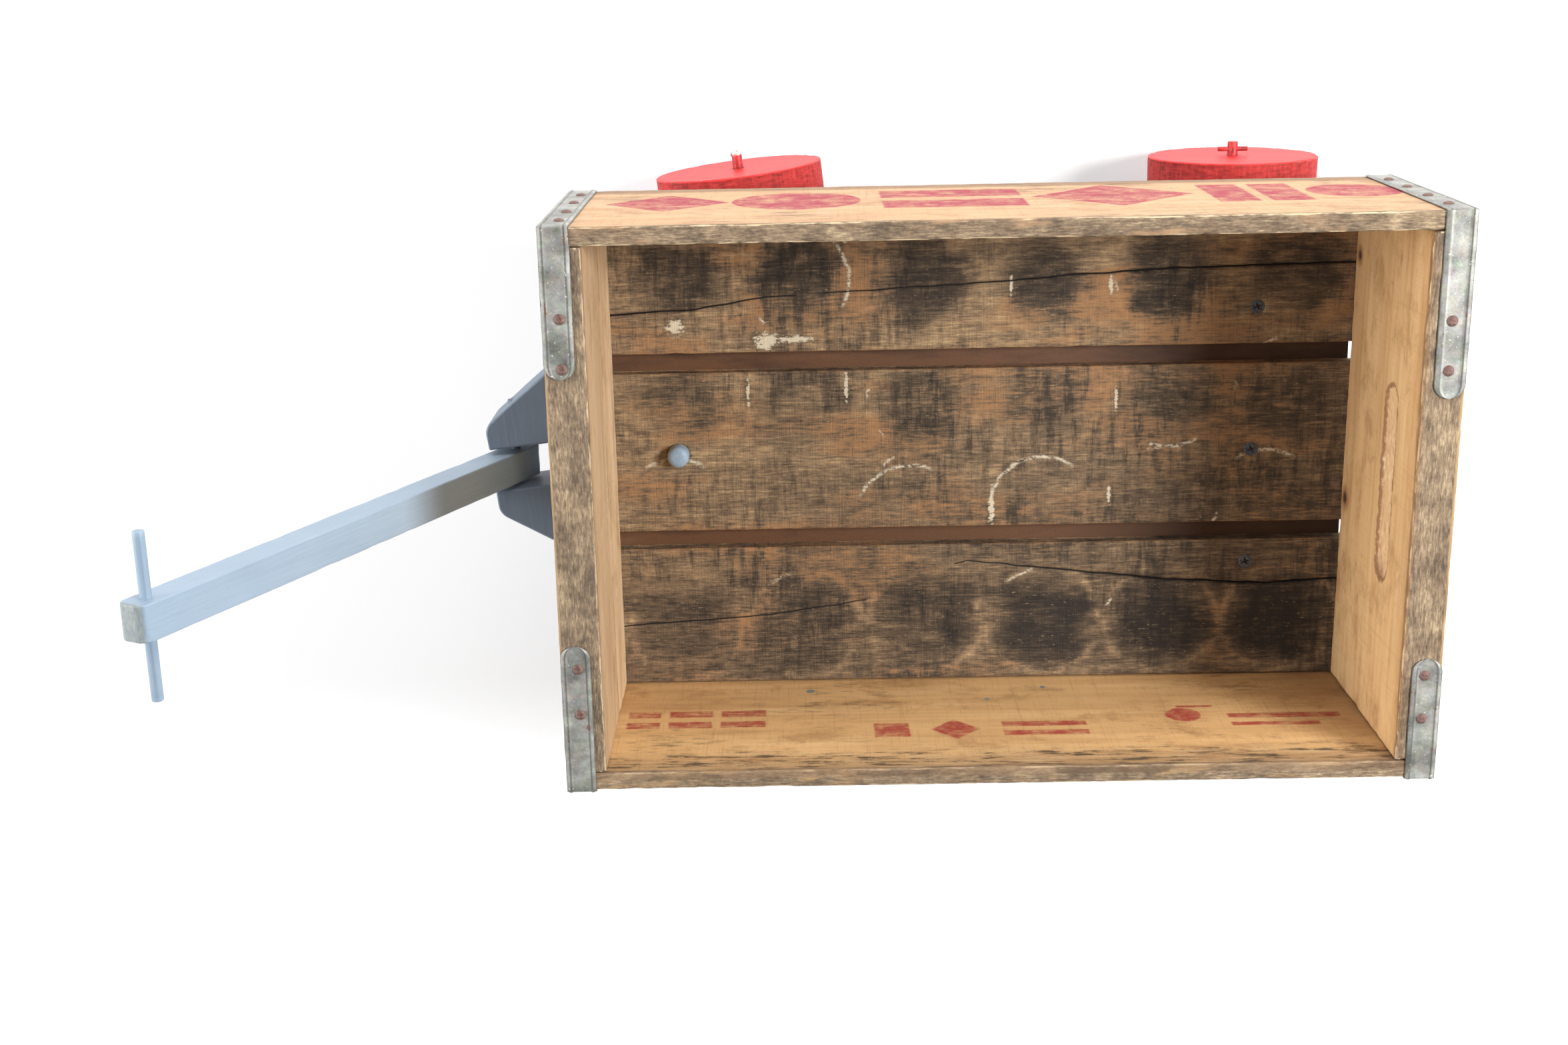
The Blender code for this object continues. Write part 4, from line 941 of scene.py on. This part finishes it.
SIDE_TONES = (srgb(0.64, 0.47, 0.29), srgb(0.85, 0.68, 0.46), srgb(0.94, 0.81, 0.60))
LEFT_TONES = (srgb(0.64, 0.48, 0.34), srgb(0.80, 0.64, 0.48), srgb(0.88, 0.76, 0.61))
REAR_TONES = (srgb(0.66, 0.48, 0.30), srgb(0.86, 0.70, 0.49), srgb(0.93, 0.81, 0.63))
FRONT_TONES = (srgb(0.62, 0.48, 0.33), srgb(0.79, 0.67, 0.52), srgb(0.89, 0.80, 0.67))


def build_side(side, tones, marks, seed):
    node = f"{side}_side_board"
    low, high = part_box(node)
    material = worn_wood(f"{side}_side_wood", "X", tones, seed, rim_grey=0.45, dirt=0.6, marks=marks)
    bm = plank(low, high, (0.0032, 0.003, 0.006), 0.0011, chips=1.3, seed=seed)
    place_piece(f"{side}_side_panel", bm, material, "crate", [node])


def handhold_relief(point, normal):
    """The hand-hold roughly routed into the rear board's inner face."""
    if normal.x > -0.5:
        return 0.0, 0.0
    along = max(abs(point.y - HANDHOLD_Y) - (HANDHOLD_HALF - HANDHOLD_RADIUS), 0.0)
    span = math.hypot(along, point.z - HANDHOLD_Z) + 0.0010 * wave(point, 0.006, 41.0)
    inside = min(max((HANDHOLD_RADIUS - span) / 0.0014 + 0.5, 0.0), 1.0)
    return inside * (HANDHOLD_DEPTH + 0.0005 * wave(point, 0.005, 42.0)), 0.0


def build_end(end, tones, marks, seed, relief, bands):
    node = f"{end}_end_board"
    low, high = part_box(node)
    material = worn_wood(f"{end}_end_wood", "Y", tones, seed, rim_grey=1.0, dirt=0.35, marks=marks,
                         lines=0.30,
                         figure_weight=0.50)
    bm = plank(low, high, (0.004, 0.0032, 0.006), 0.0012, chips=1.4, seed=seed, relief=relief, bands=bands)
    place_piece(f"{end}_end_panel", bm, material, "crate", [node])


def crack_at(path, x):
    """(y, depth) of a crack at x, from its (x, y, depth) points."""
    if x <= path[0][0]:
        return path[0][1], path[0][2]
    for (x0, y0, d0), (x1, y1, d1) in zip(path, path[1:]):
        if x <= x1:
            t = (x - x0) / (x1 - x0)
            return y0 + (y1 - y0) * t, d0 + (d1 - d0) * t
    return path[-1][1], path[-1][2]


LEFT_CRACK = ((-0.140, 0.0815, 1.2 * MM), (-0.119, 0.0824, 1.3 * MM), (-0.069, 0.0850, 1.0 * MM),
              (-0.030, 0.0916, 0.5 * MM), (0.000, 0.0928, 0.2 * MM), (0.030, 0.0945, 0.5 * MM),
              (0.105, 0.0979, 1.0 * MM), (0.148, 0.1009, 1.4 * MM), (0.209, 0.1039, 1.5 * MM),
              (0.330, 0.1058, 1.5 * MM))
RIGHT_CRACK = ((-0.140, -0.1085, 0.9 * MM), (-0.117, -0.1072, 0.9 * MM), (-0.031, -0.1015, 0.6 * MM),
               (0.033, -0.0920, 0.3 * MM), (0.058, -0.0780, 0.0), (0.087, -0.0691, 0.4 * MM),
               (0.147, -0.0764, 1.3 * MM), (0.207, -0.0833, 2.6 * MM), (0.267, -0.0869, 2.8 * MM),
               (0.307, -0.0843, 2.0 * MM), (0.330, -0.0830, 1.6 * MM))


def build_slat(side, material, seed, path=None, pits=()):
    """A floor slat. pits are (x, y, radius) of the fixings let into its top face."""
    node = f"{side}_floor_slat"
    low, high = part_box(node)
    base = sum(p[1] for p in path) / len(path) if path else None
    offsets = (-1.6 * MM, -0.8 * MM, -0.35 * MM, 0.0, 0.35 * MM, 0.8 * MM, 1.6 * MM)

    def crack_line(x):
        y, depth = crack_at(path, x)
        return y + 0.0007 * wave((x, 0, 0), 0.011, seed), depth

    def bend(point):
        y, _ = crack_line(point.x)
        room = (base - low.y) if point.y < base else (high.y - base)
        share = max(0.0, 1.0 - max(0.0, abs(point.y - base) - 0.0016) / (room - 0.0016))
        return Vector((0.0, (y - base) * share, 0.0))

    def relief(point, normal):
        if abs(normal.y) > 0.9:
            return 0.0004 * (1.0 + wave((point.x, 0, 0), 0.06, seed + 3.0)), 0.0
        if normal.z < 0.5:
            return 0.0, 0.0
        # dark is black inside the crack, and painted shade in the pits round the fixings.
        pressed, dark = 0.0, 0.0
        if path:
            y, depth = crack_line(point.x)
            depth *= 1.0 + 0.5 * wave(point, 0.02, seed + 4.0)
            half = 0.00035 + depth * 0.22
            share = max(0.0, 1.0 - abs(point.y - y) / (half + 0.0003))
            pressed = share * depth * 1.4
            dark = share if depth > 0.0003 else 0.0
        for x, y, radius in pits:
            span = math.hypot(point.x - x, point.y - y)
            share = min(max((radius + 0.0003 - span) / 0.0008, 0.0), 1.0)
            pressed = max(pressed, 0.0009 * share)
            dark = max(dark, 0.6 * share)
        return pressed, dark

    y_bands = [(y - radius - 0.002, y + radius + 0.002, 0.0009) for _, y, radius in pits]
    bands = {"X": [(x - radius - 0.002, x + radius + 0.002, 0.0009) for x, _, radius in pits], "Y": y_bands}
    if path:
        bands["Y"] = y_bands + [(base + a, base + b, b - a) for a, b in zip(offsets, offsets[1:])]
    bm = plank(low, high, (0.0030, 0.0045, 0.004), 0.0009, chips=1.2, ripple=0.00018, seed=seed,
               relief=relief,
               bands=bands, bend=bend if path else None)
    place_piece(f"{side}_floor_board", bm, material, "crate", [node])


def build_panel(material):
    """The hardboard under the slats: its rear edge runs a little out of square, as the CAD's does."""
    low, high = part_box("bed_panel")
    bm = plank(low, high, (0.010, 0.008, 0.002), 0.0004, chips=0.6, ripple=0.00004, seed=9.0)
    skew = 0.0030
    for vert in bm.verts:
        share = (vert.co.y - low.y) / (high.y - low.y)
        reach = max(0.0, (vert.co.x - (high.x - 0.05)) / 0.05)
        vert.co.x -= skew * share * reach
    place_piece("bed_underlay", bm, material, "crate", ["bed_panel"])


STRAP_SHEET = 0.00055
STRAP_RIB = 0.00040


def build_strap(corner, material, seed):
    """A pressed strip folded over the corner, with a rib near each long edge and a rounded tip."""
    node = f"{corner}_strap"
    low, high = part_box(node)
    sign = 1.0 if corner.endswith("left") else -1.0
    thick = 0.0010
    reach = low.y if sign > 0 else -high.y
    outer = (high.y if sign > 0 else -low.y) - thick
    top, foot = high.z - thick, low.z
    centre = (low.x + high.x) / 2
    half = (high.x - low.x) / 2
    fold = 0.0006

    path = []  # (distance from the tip, y, z, normal's angle from straight up)
    run = outer - fold - reach
    for k in range(46):
        s = run * (k / 45) ** 1.25
        path.append((s, reach + s, top, 0.0))
    for k in range(1, 7):
        angle = math.radians(90) * k / 6
        path.append((run + fold * angle, outer - fold + fold * math.sin(angle),
                     top - fold + fold * math.cos(angle), angle))
    drop = top - fold - foot
    for k in range(1, 41):
        path.append((run + fold * math.pi / 2 + drop * k / 40, outer, top - fold - drop * k / 40,
                     math.pi / 2))

    ribs = (-1.0, -0.97, -0.90, -0.82, -0.74, -0.67, -0.58, -0.45, -0.25, 0.0,
            0.25, 0.45, 0.58, 0.67, 0.74, 0.82, 0.90, 0.97, 1.0)
    bm = bmesh.new()
    edge_layer = bm.verts.layers.float.new("edge")
    sheets = []
    for s, y, z, angle in path:
        width = half * math.sqrt(max(0.02, 1.0 - max(0.0, 1.0 - s / half) ** 2.4))
        normal = Vector((0.0, sign * math.sin(angle), math.cos(angle)))
        upper, lower = [], []
        for v in ribs:
            rough = 0.00018 * wave((s, v * 0.004, 0), 0.009, seed) * abs(v) ** 4
            x = centre + v * (width + rough - 0.0002)
            rise = STRAP_RIB * max(0.0, 1.0 - ((abs(v) - 0.74) / 0.14) ** 2)
            rise += 0.00010 * wave((s, v * half, 0), 0.013, seed + 1.0)
            rounding = 0.00030 * max(0.0, (abs(v) - 0.90) / 0.10) ** 2
            base = Vector((x, sign * y, z))
            vert = bm.verts.new(base + normal * (STRAP_SHEET + rise - rounding))
            groove = max(0.0, 1.0 - abs(abs(v) - 0.70) / 0.10)
            border = max(0.0, (abs(v) - 0.92) / 0.08)
            vert[edge_layer] = min(1.0, groove + border)
            upper.append(vert)
            under = bm.verts.new(base + normal * 0.00008)
            under[edge_layer] = 1.0
            lower.append(under)
        sheets.append((upper, lower))
    for (up0, low0), (up1, low1) in zip(sheets, sheets[1:]):
        for i in range(len(ribs) - 1):
            bm.faces.new((up0[i], up0[i + 1], up1[i + 1], up1[i]))
            bm.faces.new((low0[i], low1[i], low1[i + 1], low0[i + 1]))
        bm.faces.new((up0[0], up1[0], low1[0], low0[0]))
        bm.faces.new((up0[-1], low0[-1], low1[-1], up1[-1]))
    for upper, lower in (sheets[0], sheets[-1]):
        for i in range(len(ribs) - 1):
            bm.faces.new((upper[i], upper[i + 1], lower[i + 1], lower[i]))
    place_piece(f"{corner}_corner_strip", bm, material, "crate", [node])


def build_nail(node, material, seed):
    """A domed nail head with hammer flats, sitting on its strap."""
    low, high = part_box(node)
    middle = (low + high) / 2
    if "_rim_" in node:
        out, origin = Vector((0, 0, 1)), Vector((middle.x, middle.y, high.z - 0.00175))
    else:
        sign = 1.0 if "_left_" in node else -1.0
        skin = high.y if sign > 0 else low.y
        out, origin = Vector((0, sign, 0)), Vector((middle.x, skin - sign * 0.00175, middle.z))
    radius = 0.0029
    rows = [(0.0, 0.00125, 0.0, 0.0), (0.0010, 0.00120, 0.0, 0.0), (0.0018, 0.00102, 0.2, 0.0),
            (0.0024, 0.00072, 0.5, 0.0), (0.00275, 0.00035, 1.0, 0.0), (radius, 0.0, 1.0, 0.0),
            (0.0011, -0.0002, 0.0, 0.0), (0.0011, -0.018, 0.0, 0.0), (0.0, -0.022, 0.0, 0.0)]
    bm = turned(rows, 28, seed=seed)
    for vert in bm.verts:
        if vert.co.z > -0.0001:
            dent = 0.00016 * wave(vert.co, 0.0016, seed)
            vert.co.z += dent
            vert.co.x *= 1.0 + 0.05 * wave(vert.co, 0.004, seed + 1.0)
            vert.co.y *= 1.0 + 0.05 * wave(vert.co, 0.004, seed + 2.0)
    place_piece(f"{node}_head", bm, material, "crate", [node], matrix=facing(out, origin))


def cross_cutter(top, reach=0.0028, wide=0.00042, deep=0.0019):
    """A tapered cross, as the driver leaves in a screw's head, hollowed down from local z = top."""
    bm = bmesh.new()
    for turn in (0.0, math.pi / 2):
        spin = Matrix.Rotation(turn + 0.35, 4, "Z")
        shape = []
        for z, scale in ((top + 0.001, 1.0), (top - deep, 0.35)):
            for x, y in ((-reach, -wide), (reach, -wide), (reach, wide), (-reach, wide)):
                shape.append(bm.verts.new(spin @ Vector((x * scale, y, z))))
        bottom, upper = shape[4:], shape[:4]
        bm.faces.new(bottom[::-1])
        bm.faces.new(upper)
        for i in range(4):
            j = (i + 1) % 4
            bm.faces.new((upper[i], upper[j], bottom[j], bottom[i]))
    return bm


def build_screw(node, material, body, out, length):
    low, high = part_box(node)
    middle = (low + high) / 2
    top = high.z if out > 0 else low.z
    rows = [(0.0, -0.0001, 0.0, 0.0), (0.0036, -0.0001, 0.4, 0.0), (0.0040, -0.0002, 1.0, 0.0),
            (0.0042, -0.0004, 1.0, 0.0), (0.0036, -0.0012, 0.0, 0.0), (0.0019, -0.0030, 0.0, 0.0)]
    turns = 9
    for k in range(turns * 2):
        z = -0.012 - (length - 0.016) * k / (turns * 2)
        rows.append((0.0018 if k % 2 else 0.0014, z, 0.0, 0.0))
    rows.append((0.0, -length, 0.0, 0.0))
    bm = turned(rows, 24)
    matrix = facing((0, 0, out), (middle.x, middle.y, top))
    piece = place_piece(f"{node}_detail", bm, material, body, [node], matrix=matrix)
    carve(piece, cross_cutter(-0.0001))


# ---------------------------------------------------------------- running gear

BEAM_GRID, BEAM_CORNER, BEAM_HALF = 0.005, 0.0018, 0.019
WHEEL_HALF, WHEEL_BORE, WHEEL_WORN, WHEEL_PLAY = 0.0095, 0.00322, 0.0011, 0.0015
AXLE_RADIUS, REAR_AXLE_HALF, FRONT_AXLE_HALF, BROKEN_TIP_START = 0.0031, 0.1670, 0.1639, 0.1605
AXLE_PIN_RADIUS, AXLE_PIN_HALF, BROKEN_PIN_HALF = 0.0014, 0.009, 0.0032
FRONT_AXLE_BEHIND, FRONT_WHEEL_FACE = 0.0529, 0.1523
KING_PIN_BORE, HINGE_BORE = 0.0065, 0.0033
KING_PEG_RADIUS, KING_PEG_HALF = 0.0020, 0.015
GRIP_RADIUS, GRIP_HALF = 0.0030, 0.0425
HINGE_PIN_RADIUS, HINGE_PIN_HALF = 0.0032, 0.03675


def painted_beam(low, high, seed):
    """A painted timber with worn edges, as a bmesh."""
    return plank(low, high, (BEAM_GRID, BEAM_GRID, BEAM_GRID), BEAM_CORNER, chips=0.9, seed=seed)


def build_bolster(material):
    bm = painted_beam(*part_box("rear_bolster"), 12.0)
    place_piece("rear_bolster_block", bm, material, "crate", ["rear_bolster"])


def wheel_rows(radius, half, bore):
    """Rows of a wooden disc, from its bore over one face, the tread and the other face."""
    worn = WHEEL_WORN
    faces = [bore + 0.0004, 0.006, 0.010, 0.016, 0.022, 0.028, 0.034, 0.040, 0.045, radius - worn * 2.2]
    arcs = [math.radians(a) for a in (0, 22, 45, 68)]
    upper = [(bore, half - 0.0005, 0.5, 0.0)] + [(r, half, 0.0, 0.0) for r in faces]
    upper += [(radius - worn + worn * math.sin(a), half - worn + worn * math.cos(a), 1.0,
               0.0) for a in arcs]
    count = 8
    rows = upper + [(radius, half - worn - (2 * half - 2 * worn) * k / count,
                     1.0 if k in (0, count) else 0.0, 1.0)
                    for k in range(count + 1)]
    return rows + [(r, -h, e, t) for r, h, e, t in reversed(upper)]


def build_wheel(name, material, seed):
    joint = JOINTS[f"{name}_spin"]
    axis = Vector(joint["axis"])
    low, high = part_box(name)
    radius = (high.z - low.z) / 2
    bm = turned(wheel_rows(radius, WHEEL_HALF, WHEEL_BORE), 144, seed=seed, wobble=0.00022, chips=0.0011)
    matrix = facing(axis, joint["pos_m"])
    place_piece(f"{name}_disc", bm, material, name, [name], matrix=matrix)


def build_axle(node, body, axis, material, half, broken_end=False):
    centre = middle_of(node)
    bm = turned(rod_rows(AXLE_RADIUS, -half, half, 0.0005), 32, seed=3.0, wobble=0.00003)
    if broken_end:
        for vert in bm.verts:
            if vert.co.z > half - 0.0012:
                vert.co.z -= 0.0012 * (0.5 + 0.5 * wave(vert.co, 0.0018, 4.0))
                vert.co.z -= 0.0016 * max(0.0, 1.0 - abs(vert.co.x + 0.0006) / 0.0009)
    place_piece(f"{node}_rod", bm, material, body, [node], matrix=facing(axis, centre))


def build_pin(node, body, direction, radius, half, material, seed, chamfer=0.0004):
    bm = turned(rod_rows(radius, -half, half, chamfer), 24, seed=seed, wobble=0.00003)
    place_piece(f"{node}_detail", bm, material, body, [node],
                matrix=facing(direction, middle_of(node)))


def build_front_axle_block(material):
    """The block that carries the front axle, in the steering gear's own frame."""
    low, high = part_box("front_axle_block")
    half_y = FRONT_WHEEL_FACE - 2 * WHEEL_HALF - WHEEL_PLAY
    bm = painted_beam(Vector((FRONT_AXLE_BEHIND - BEAM_HALF, -half_y, low.z)),
                      Vector((FRONT_AXLE_BEHIND + BEAM_HALF, half_y, high.z)), 13.0)
    place_piece("front_axle_beam", bm, material, "steering_gear", ["front_axle_block"],
                matrix=steering_frame())


# The steering block, in the steering gear's own frame: origin on the king pin, -X to the front.
FORK_FRONT, FORK_HALF, FORK_FLARE, FORK_ROUND = -0.1135, 0.0270, 0.692, 0.010
SLOT_HALF, SLOT_END, BLOCK_HALF, BLOCK_REAR = 0.0125, -0.068, 0.100, 0.0719


def rounded(outline, rounds, steps=7):
    """An outline with some of its corners replaced by arcs: rounds maps index to radius."""
    points = []
    for i, corner in enumerate(outline):
        radius = rounds.get(i, 0.0)
        corner = Vector(corner)
        if not radius:
            points.append(corner)
            continue
        before = (Vector(outline[i - 1]) - corner).normalized()
        after = (Vector(outline[(i + 1) % len(outline)]) - corner).normalized()
        half = before.angle(after) / 2
        centre = corner + (before + after).normalized() * radius / math.sin(half)
        start = corner + before * radius / math.tan(half) - centre
        sweep = start.angle_signed(corner + after * radius / math.tan(half) - centre)
        points += [centre + Matrix.Rotation(-sweep * k / steps, 2) @ start for k in range(steps + 1)]
    return [(p.x, p.y) for p in points]


def shaped_block(outline, low, high, bevel, spacing, seed):
    """A prism over an outline with its edges rounded over, gridded so that its surface can be uneven."""
    bm = bmesh.new()
    edge_layer = bm.verts.layers.float.new("edge")
    lower = [bm.verts.new((x, y, low)) for x, y in outline]
    upper = [bm.verts.new((x, y, high)) for x, y in outline]
    bm.faces.new(lower[::-1])
    bm.faces.new(upper)
    for i in range(len(outline)):
        j = (i + 1) % len(outline)
        bm.faces.new((lower[i], lower[j], upper[j], upper[i]))
    bmesh.ops.recalc_face_normals(bm, faces=bm.faces)
    sharp = [e for e in bm.edges if e.calc_face_angle(0.0) > math.radians(30)]
    result = bmesh.ops.bevel(bm, geom=sharp, offset=bevel, segments=3, profile=0.5, affect="EDGES")
    for face in result["faces"]:
        for vert in face.verts:
            vert[edge_layer] = 1.0
    xs, ys = [p[0] for p in outline], [p[1] for p in outline]
    spans = ((0, min(xs), max(xs)), (1, min(ys), max(ys)), (2, low, high))
    for axis, start, stop in spans:
        count = int((stop - start) / spacing)
        for k in range(1, count):
            point, normal = Vector((0, 0, 0)), Vector((0, 0, 0))
            point[axis], normal[axis] = start + (stop - start) * k / count, 1.0
            geometry = bm.verts[:] + bm.edges[:] + bm.faces[:]
            bmesh.ops.bisect_plane(bm, geom=geometry, dist=1e-6, plane_co=point, plane_no=normal)
    bm.normal_update()
    for vert in bm.verts:
        nick = max(0.0, wave(vert.co, 0.007, seed) - 0.15) * 0.0007 * vert[edge_layer]
        vert.co -= vert.normal * (0.00008 * (1.0 + wave(vert.co, 0.02, seed + 1.0)) + nick)
    return bm


def steering_frame():
    """The steering gear's own frame: origin under the king pin, Y along the front axle."""
    wheel_axis = JOINTS["front_left_wheel_spin"]["axis"]
    turn = math.atan2(-wheel_axis[0], wheel_axis[1])
    pivot = Vector(JOINTS["steering"]["pos_m"])
    pivot.z = 0.0
    return Matrix.Translation(pivot) @ Matrix.Rotation(turn, 4, "Z")


def drill(piece, radius, length, segments, matrix):
    """Bores a round hole along Z of a matrix in the piece's frame, and keeps its flat faces flat."""
    bore = bmesh.new()
    bmesh.ops.create_cone(bore, cap_ends=True, segments=segments, radius1=radius, radius2=radius,
                          depth=length,
                          matrix=matrix)
    carve(piece, bore)
    piece.modifiers.new("flat_faces", "WEIGHTED_NORMAL").keep_sharp = True


def build_steering_block(material):
    low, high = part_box("steering_block")
    flare_end = FORK_FRONT + (BLOCK_HALF - FORK_HALF) / FORK_FLARE
    outline = [(FORK_FRONT, -FORK_HALF), (flare_end, -BLOCK_HALF), (BLOCK_REAR, -BLOCK_HALF),
               (BLOCK_REAR, BLOCK_HALF), (flare_end, BLOCK_HALF), (FORK_FRONT, FORK_HALF),
               (FORK_FRONT, SLOT_HALF), (SLOT_END, SLOT_HALF), (SLOT_END, -SLOT_HALF),
               (FORK_FRONT, -SLOT_HALF)]
    outline = rounded(outline, {0: FORK_ROUND, 1: 0.012, 4: 0.012, 5: FORK_ROUND})
    bm = shaped_block(outline, low.z, high.z, 0.0014, 0.007, 14.0)
    piece = place_piece("steering_fork", bm, material, "steering_gear", ["steering_block"],
                        matrix=steering_frame(), sharp=60.0)
    drill(piece, KING_PIN_BORE, 0.06, 40, Matrix.Translation((0, 0, (low.z + high.z) / 2)))


HANDLE_LENGTH, HANDLE_TAIL, HANDLE_DEPTH, HANDLE_WIDTH = 0.3195, 0.0142, 0.0175, 0.019
HANDLE_RAISED = math.radians(63.8)


def build_handle(material, rod_material, hinge_material):
    pivot = Vector(JOINTS["handle_raise"]["pos_m"])
    half = HANDLE_DEPTH / 2
    outline = [(-HANDLE_LENGTH, -half), (HANDLE_TAIL, -half), (HANDLE_TAIL, half), (-HANDLE_LENGTH, half)]
    outline = rounded(outline, {0: 0.0060, 1: 0.003, 2: 0.003, 3: 0.0060})
    bm = shaped_block(outline, -HANDLE_WIDTH / 2, HANDLE_WIDTH / 2, 0.0010, 0.006, 15.0)
    bmesh.ops.transform(bm, matrix=Matrix.Rotation(math.pi / 2, 4, "X"), verts=bm.verts)
    matrix = Matrix.Translation(pivot) @ Matrix.Rotation(HANDLE_RAISED, 4, "Y")
    piece = place_piece("handle_pole", bm, material, "handle", ["handle_bar"], matrix=matrix,
                        sharp=60.0)
    drill(piece, HINGE_BORE, 0.05, 32, Matrix.Rotation(math.pi / 2, 4, "X"))
    bm = turned(rod_rows(GRIP_RADIUS, -GRIP_HALF, GRIP_HALF, 0.0008), 28, seed=16.0, wobble=0.00004)
    place_piece("handle_crossbar", bm, rod_material, "handle", ["handle_grip"],
                matrix=facing((0, 1, 0), middle_of("handle_grip")))
    bm = turned(rod_rows(HINGE_PIN_RADIUS, -HINGE_PIN_HALF, HINGE_PIN_HALF, 0.0006), 28, seed=17.0,
                wobble=0.00003)
    place_piece("handle_hinge_rod", bm, hinge_material, "steering_gear", ["handle_hinge_pin"],
                matrix=facing((0, 1, 0), middle_of("handle_hinge_pin")))


def build_king_pin(material, peg_material):
    low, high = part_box("king_pin")
    centre = (low + high) / 2
    half = (high.z - low.z) / 2
    radius = (high.x - low.x) / 2
    rows = rod_rows(radius, -half, half, 0.0010)[:-5]
    rows += [(radius - 0.0002, half - 0.0026, 1.0, 0.0), (radius - 0.0006, half - 0.0016, 1.0, 0.0),
             (radius - 0.0014, half - 0.0008, 0.8, 0.0), (radius - 0.0024, half - 0.0003, 0.4, 0.0),
             (radius - 0.0040, half, 0.0, 0.0), (0.0, half, 0.0, 0.0)]
    rows = [row for row in rows if row[1] <= half - 0.0030 or row[0] < radius]
    bm = turned(rows, 40, seed=18.0, wobble=0.00004, chips=0.0004)
    place_piece("king_pin_dowel", bm, material, "crate", ["king_pin"],
                matrix=facing((0, 0, 1), centre))
    build_pin("king_pin_peg", "crate", (0, 1, 0), KING_PEG_RADIUS, KING_PEG_HALF, peg_material,
              19.0)


def build_all():
    floor = floor_wood()
    strap = galvanised()
    nail = rusty_nail()
    screw = black_screw()
    blue_bar = blue_paint("blue_pole_paint", "X", 130.0, POLE_BLUES, end_grain=True)
    # A darker, painted-shade copy of the blue paint, for the fork, the hinge pin and the blocks.
    shade_darkened_blue = blue_paint("shade_darkened_blue_paint", "Y", 137.0, SHADE_DARKENED_BLUES)
    blue_rod = blue_paint("blue_rod_paint", "Z", 144.0, POLE_BLUES)
    red_rod = red_axle_paint("red_axle_paint")

    build_side("left", LEFT_TONES, left_board_marks, 1.0)
    build_side("right", SIDE_TONES, right_board_marks, 2.0)
    build_end("front", FRONT_TONES, front_board_marks, 3.0, None, None)
    rear_bands = {"Y": [(-0.062, 0.058, 0.0018)], "Z": [(0.2085, 0.2340, 0.0012)]}
    build_end("rear", REAR_TONES, rear_board_marks, 4.0, handhold_relief, rear_bands)

    screws = {side: middle_of(f"{side}_bolster_screw") for side in ("left", "centre", "right")}
    pits = {side: [(at.x, at.y, 0.0041)] for side, at in screws.items()}
    king = middle_of("king_pin")
    pits["centre"].append((king.x, king.y, 0.0068))
    build_slat("left", floor, 5.0, LEFT_CRACK, pits["left"])
    build_slat("centre", floor, 6.0, None, pits["centre"])
    build_slat("right", floor, 7.0, RIGHT_CRACK, pits["right"])
    build_panel(hardboard())

    for k, corner in enumerate(("front_left", "front_right", "rear_left", "rear_right")):
        build_strap(corner, strap, 20.0 + k)
        for kind, count in (("rim", 2), ("side", 4)):
            for number in range(1, count + 1):
                build_nail(f"{corner}_{kind}_nail_{number}", nail, 30.0 + 7 * k + number + 3 * count)
    for side in ("left", "centre", "right"):
        build_screw(f"{side}_bolster_screw", screw, "crate", 1.0, 0.045)
    for side in ("left", "right"):
        build_screw(f"{side}_axle_block_screw", screw, "steering_gear", -1.0, 0.070)

    build_bolster(shade_darkened_blue)
    build_front_axle_block(shade_darkened_blue)
    build_steering_block(shade_darkened_blue)
    build_handle(blue_bar, blue_rod, shade_darkened_blue)
    build_king_pin(blue_rod, bare_peg())

    front_axis = JOINTS["front_left_wheel_spin"]["axis"]
    build_axle("rear_axle", "crate", (0, 1, 0), red_rod, REAR_AXLE_HALF)
    tip = red_axle_paint("broken_axle_paint", bare_beyond=BROKEN_TIP_START)
    build_axle("front_axle", "steering_gear", front_axis, tip, FRONT_AXLE_HALF, broken_end=True)
    square = Vector((front_axis[1], -front_axis[0], 0.0))
    for node, body, along, seed in (("rear_left_axle_pin", "crate", (1, 0, 0), 21.0),
                                    ("rear_right_axle_pin", "crate", (1, 0, 0), 22.0),
                                    ("front_right_axle_pin", "steering_gear", square, 23.0)):
        build_pin(node, body, along, AXLE_PIN_RADIUS, AXLE_PIN_HALF, red_rod, seed)
    build_pin("front_left_axle_pin", "steering_gear", square, AXLE_PIN_RADIUS, BROKEN_PIN_HALF,
              bright_steel(),
              24.0)
    for k, name in enumerate(("front_left_wheel", "front_right_wheel", "rear_left_wheel",
                              "rear_right_wheel")):
        build_wheel(name, red_wheel_paint(f"{name}_paint", 150.0 + 9.0 * k), 60.0 + k)


make_camera()
make_stage()
build_all()

bpy.context.view_layer.update()
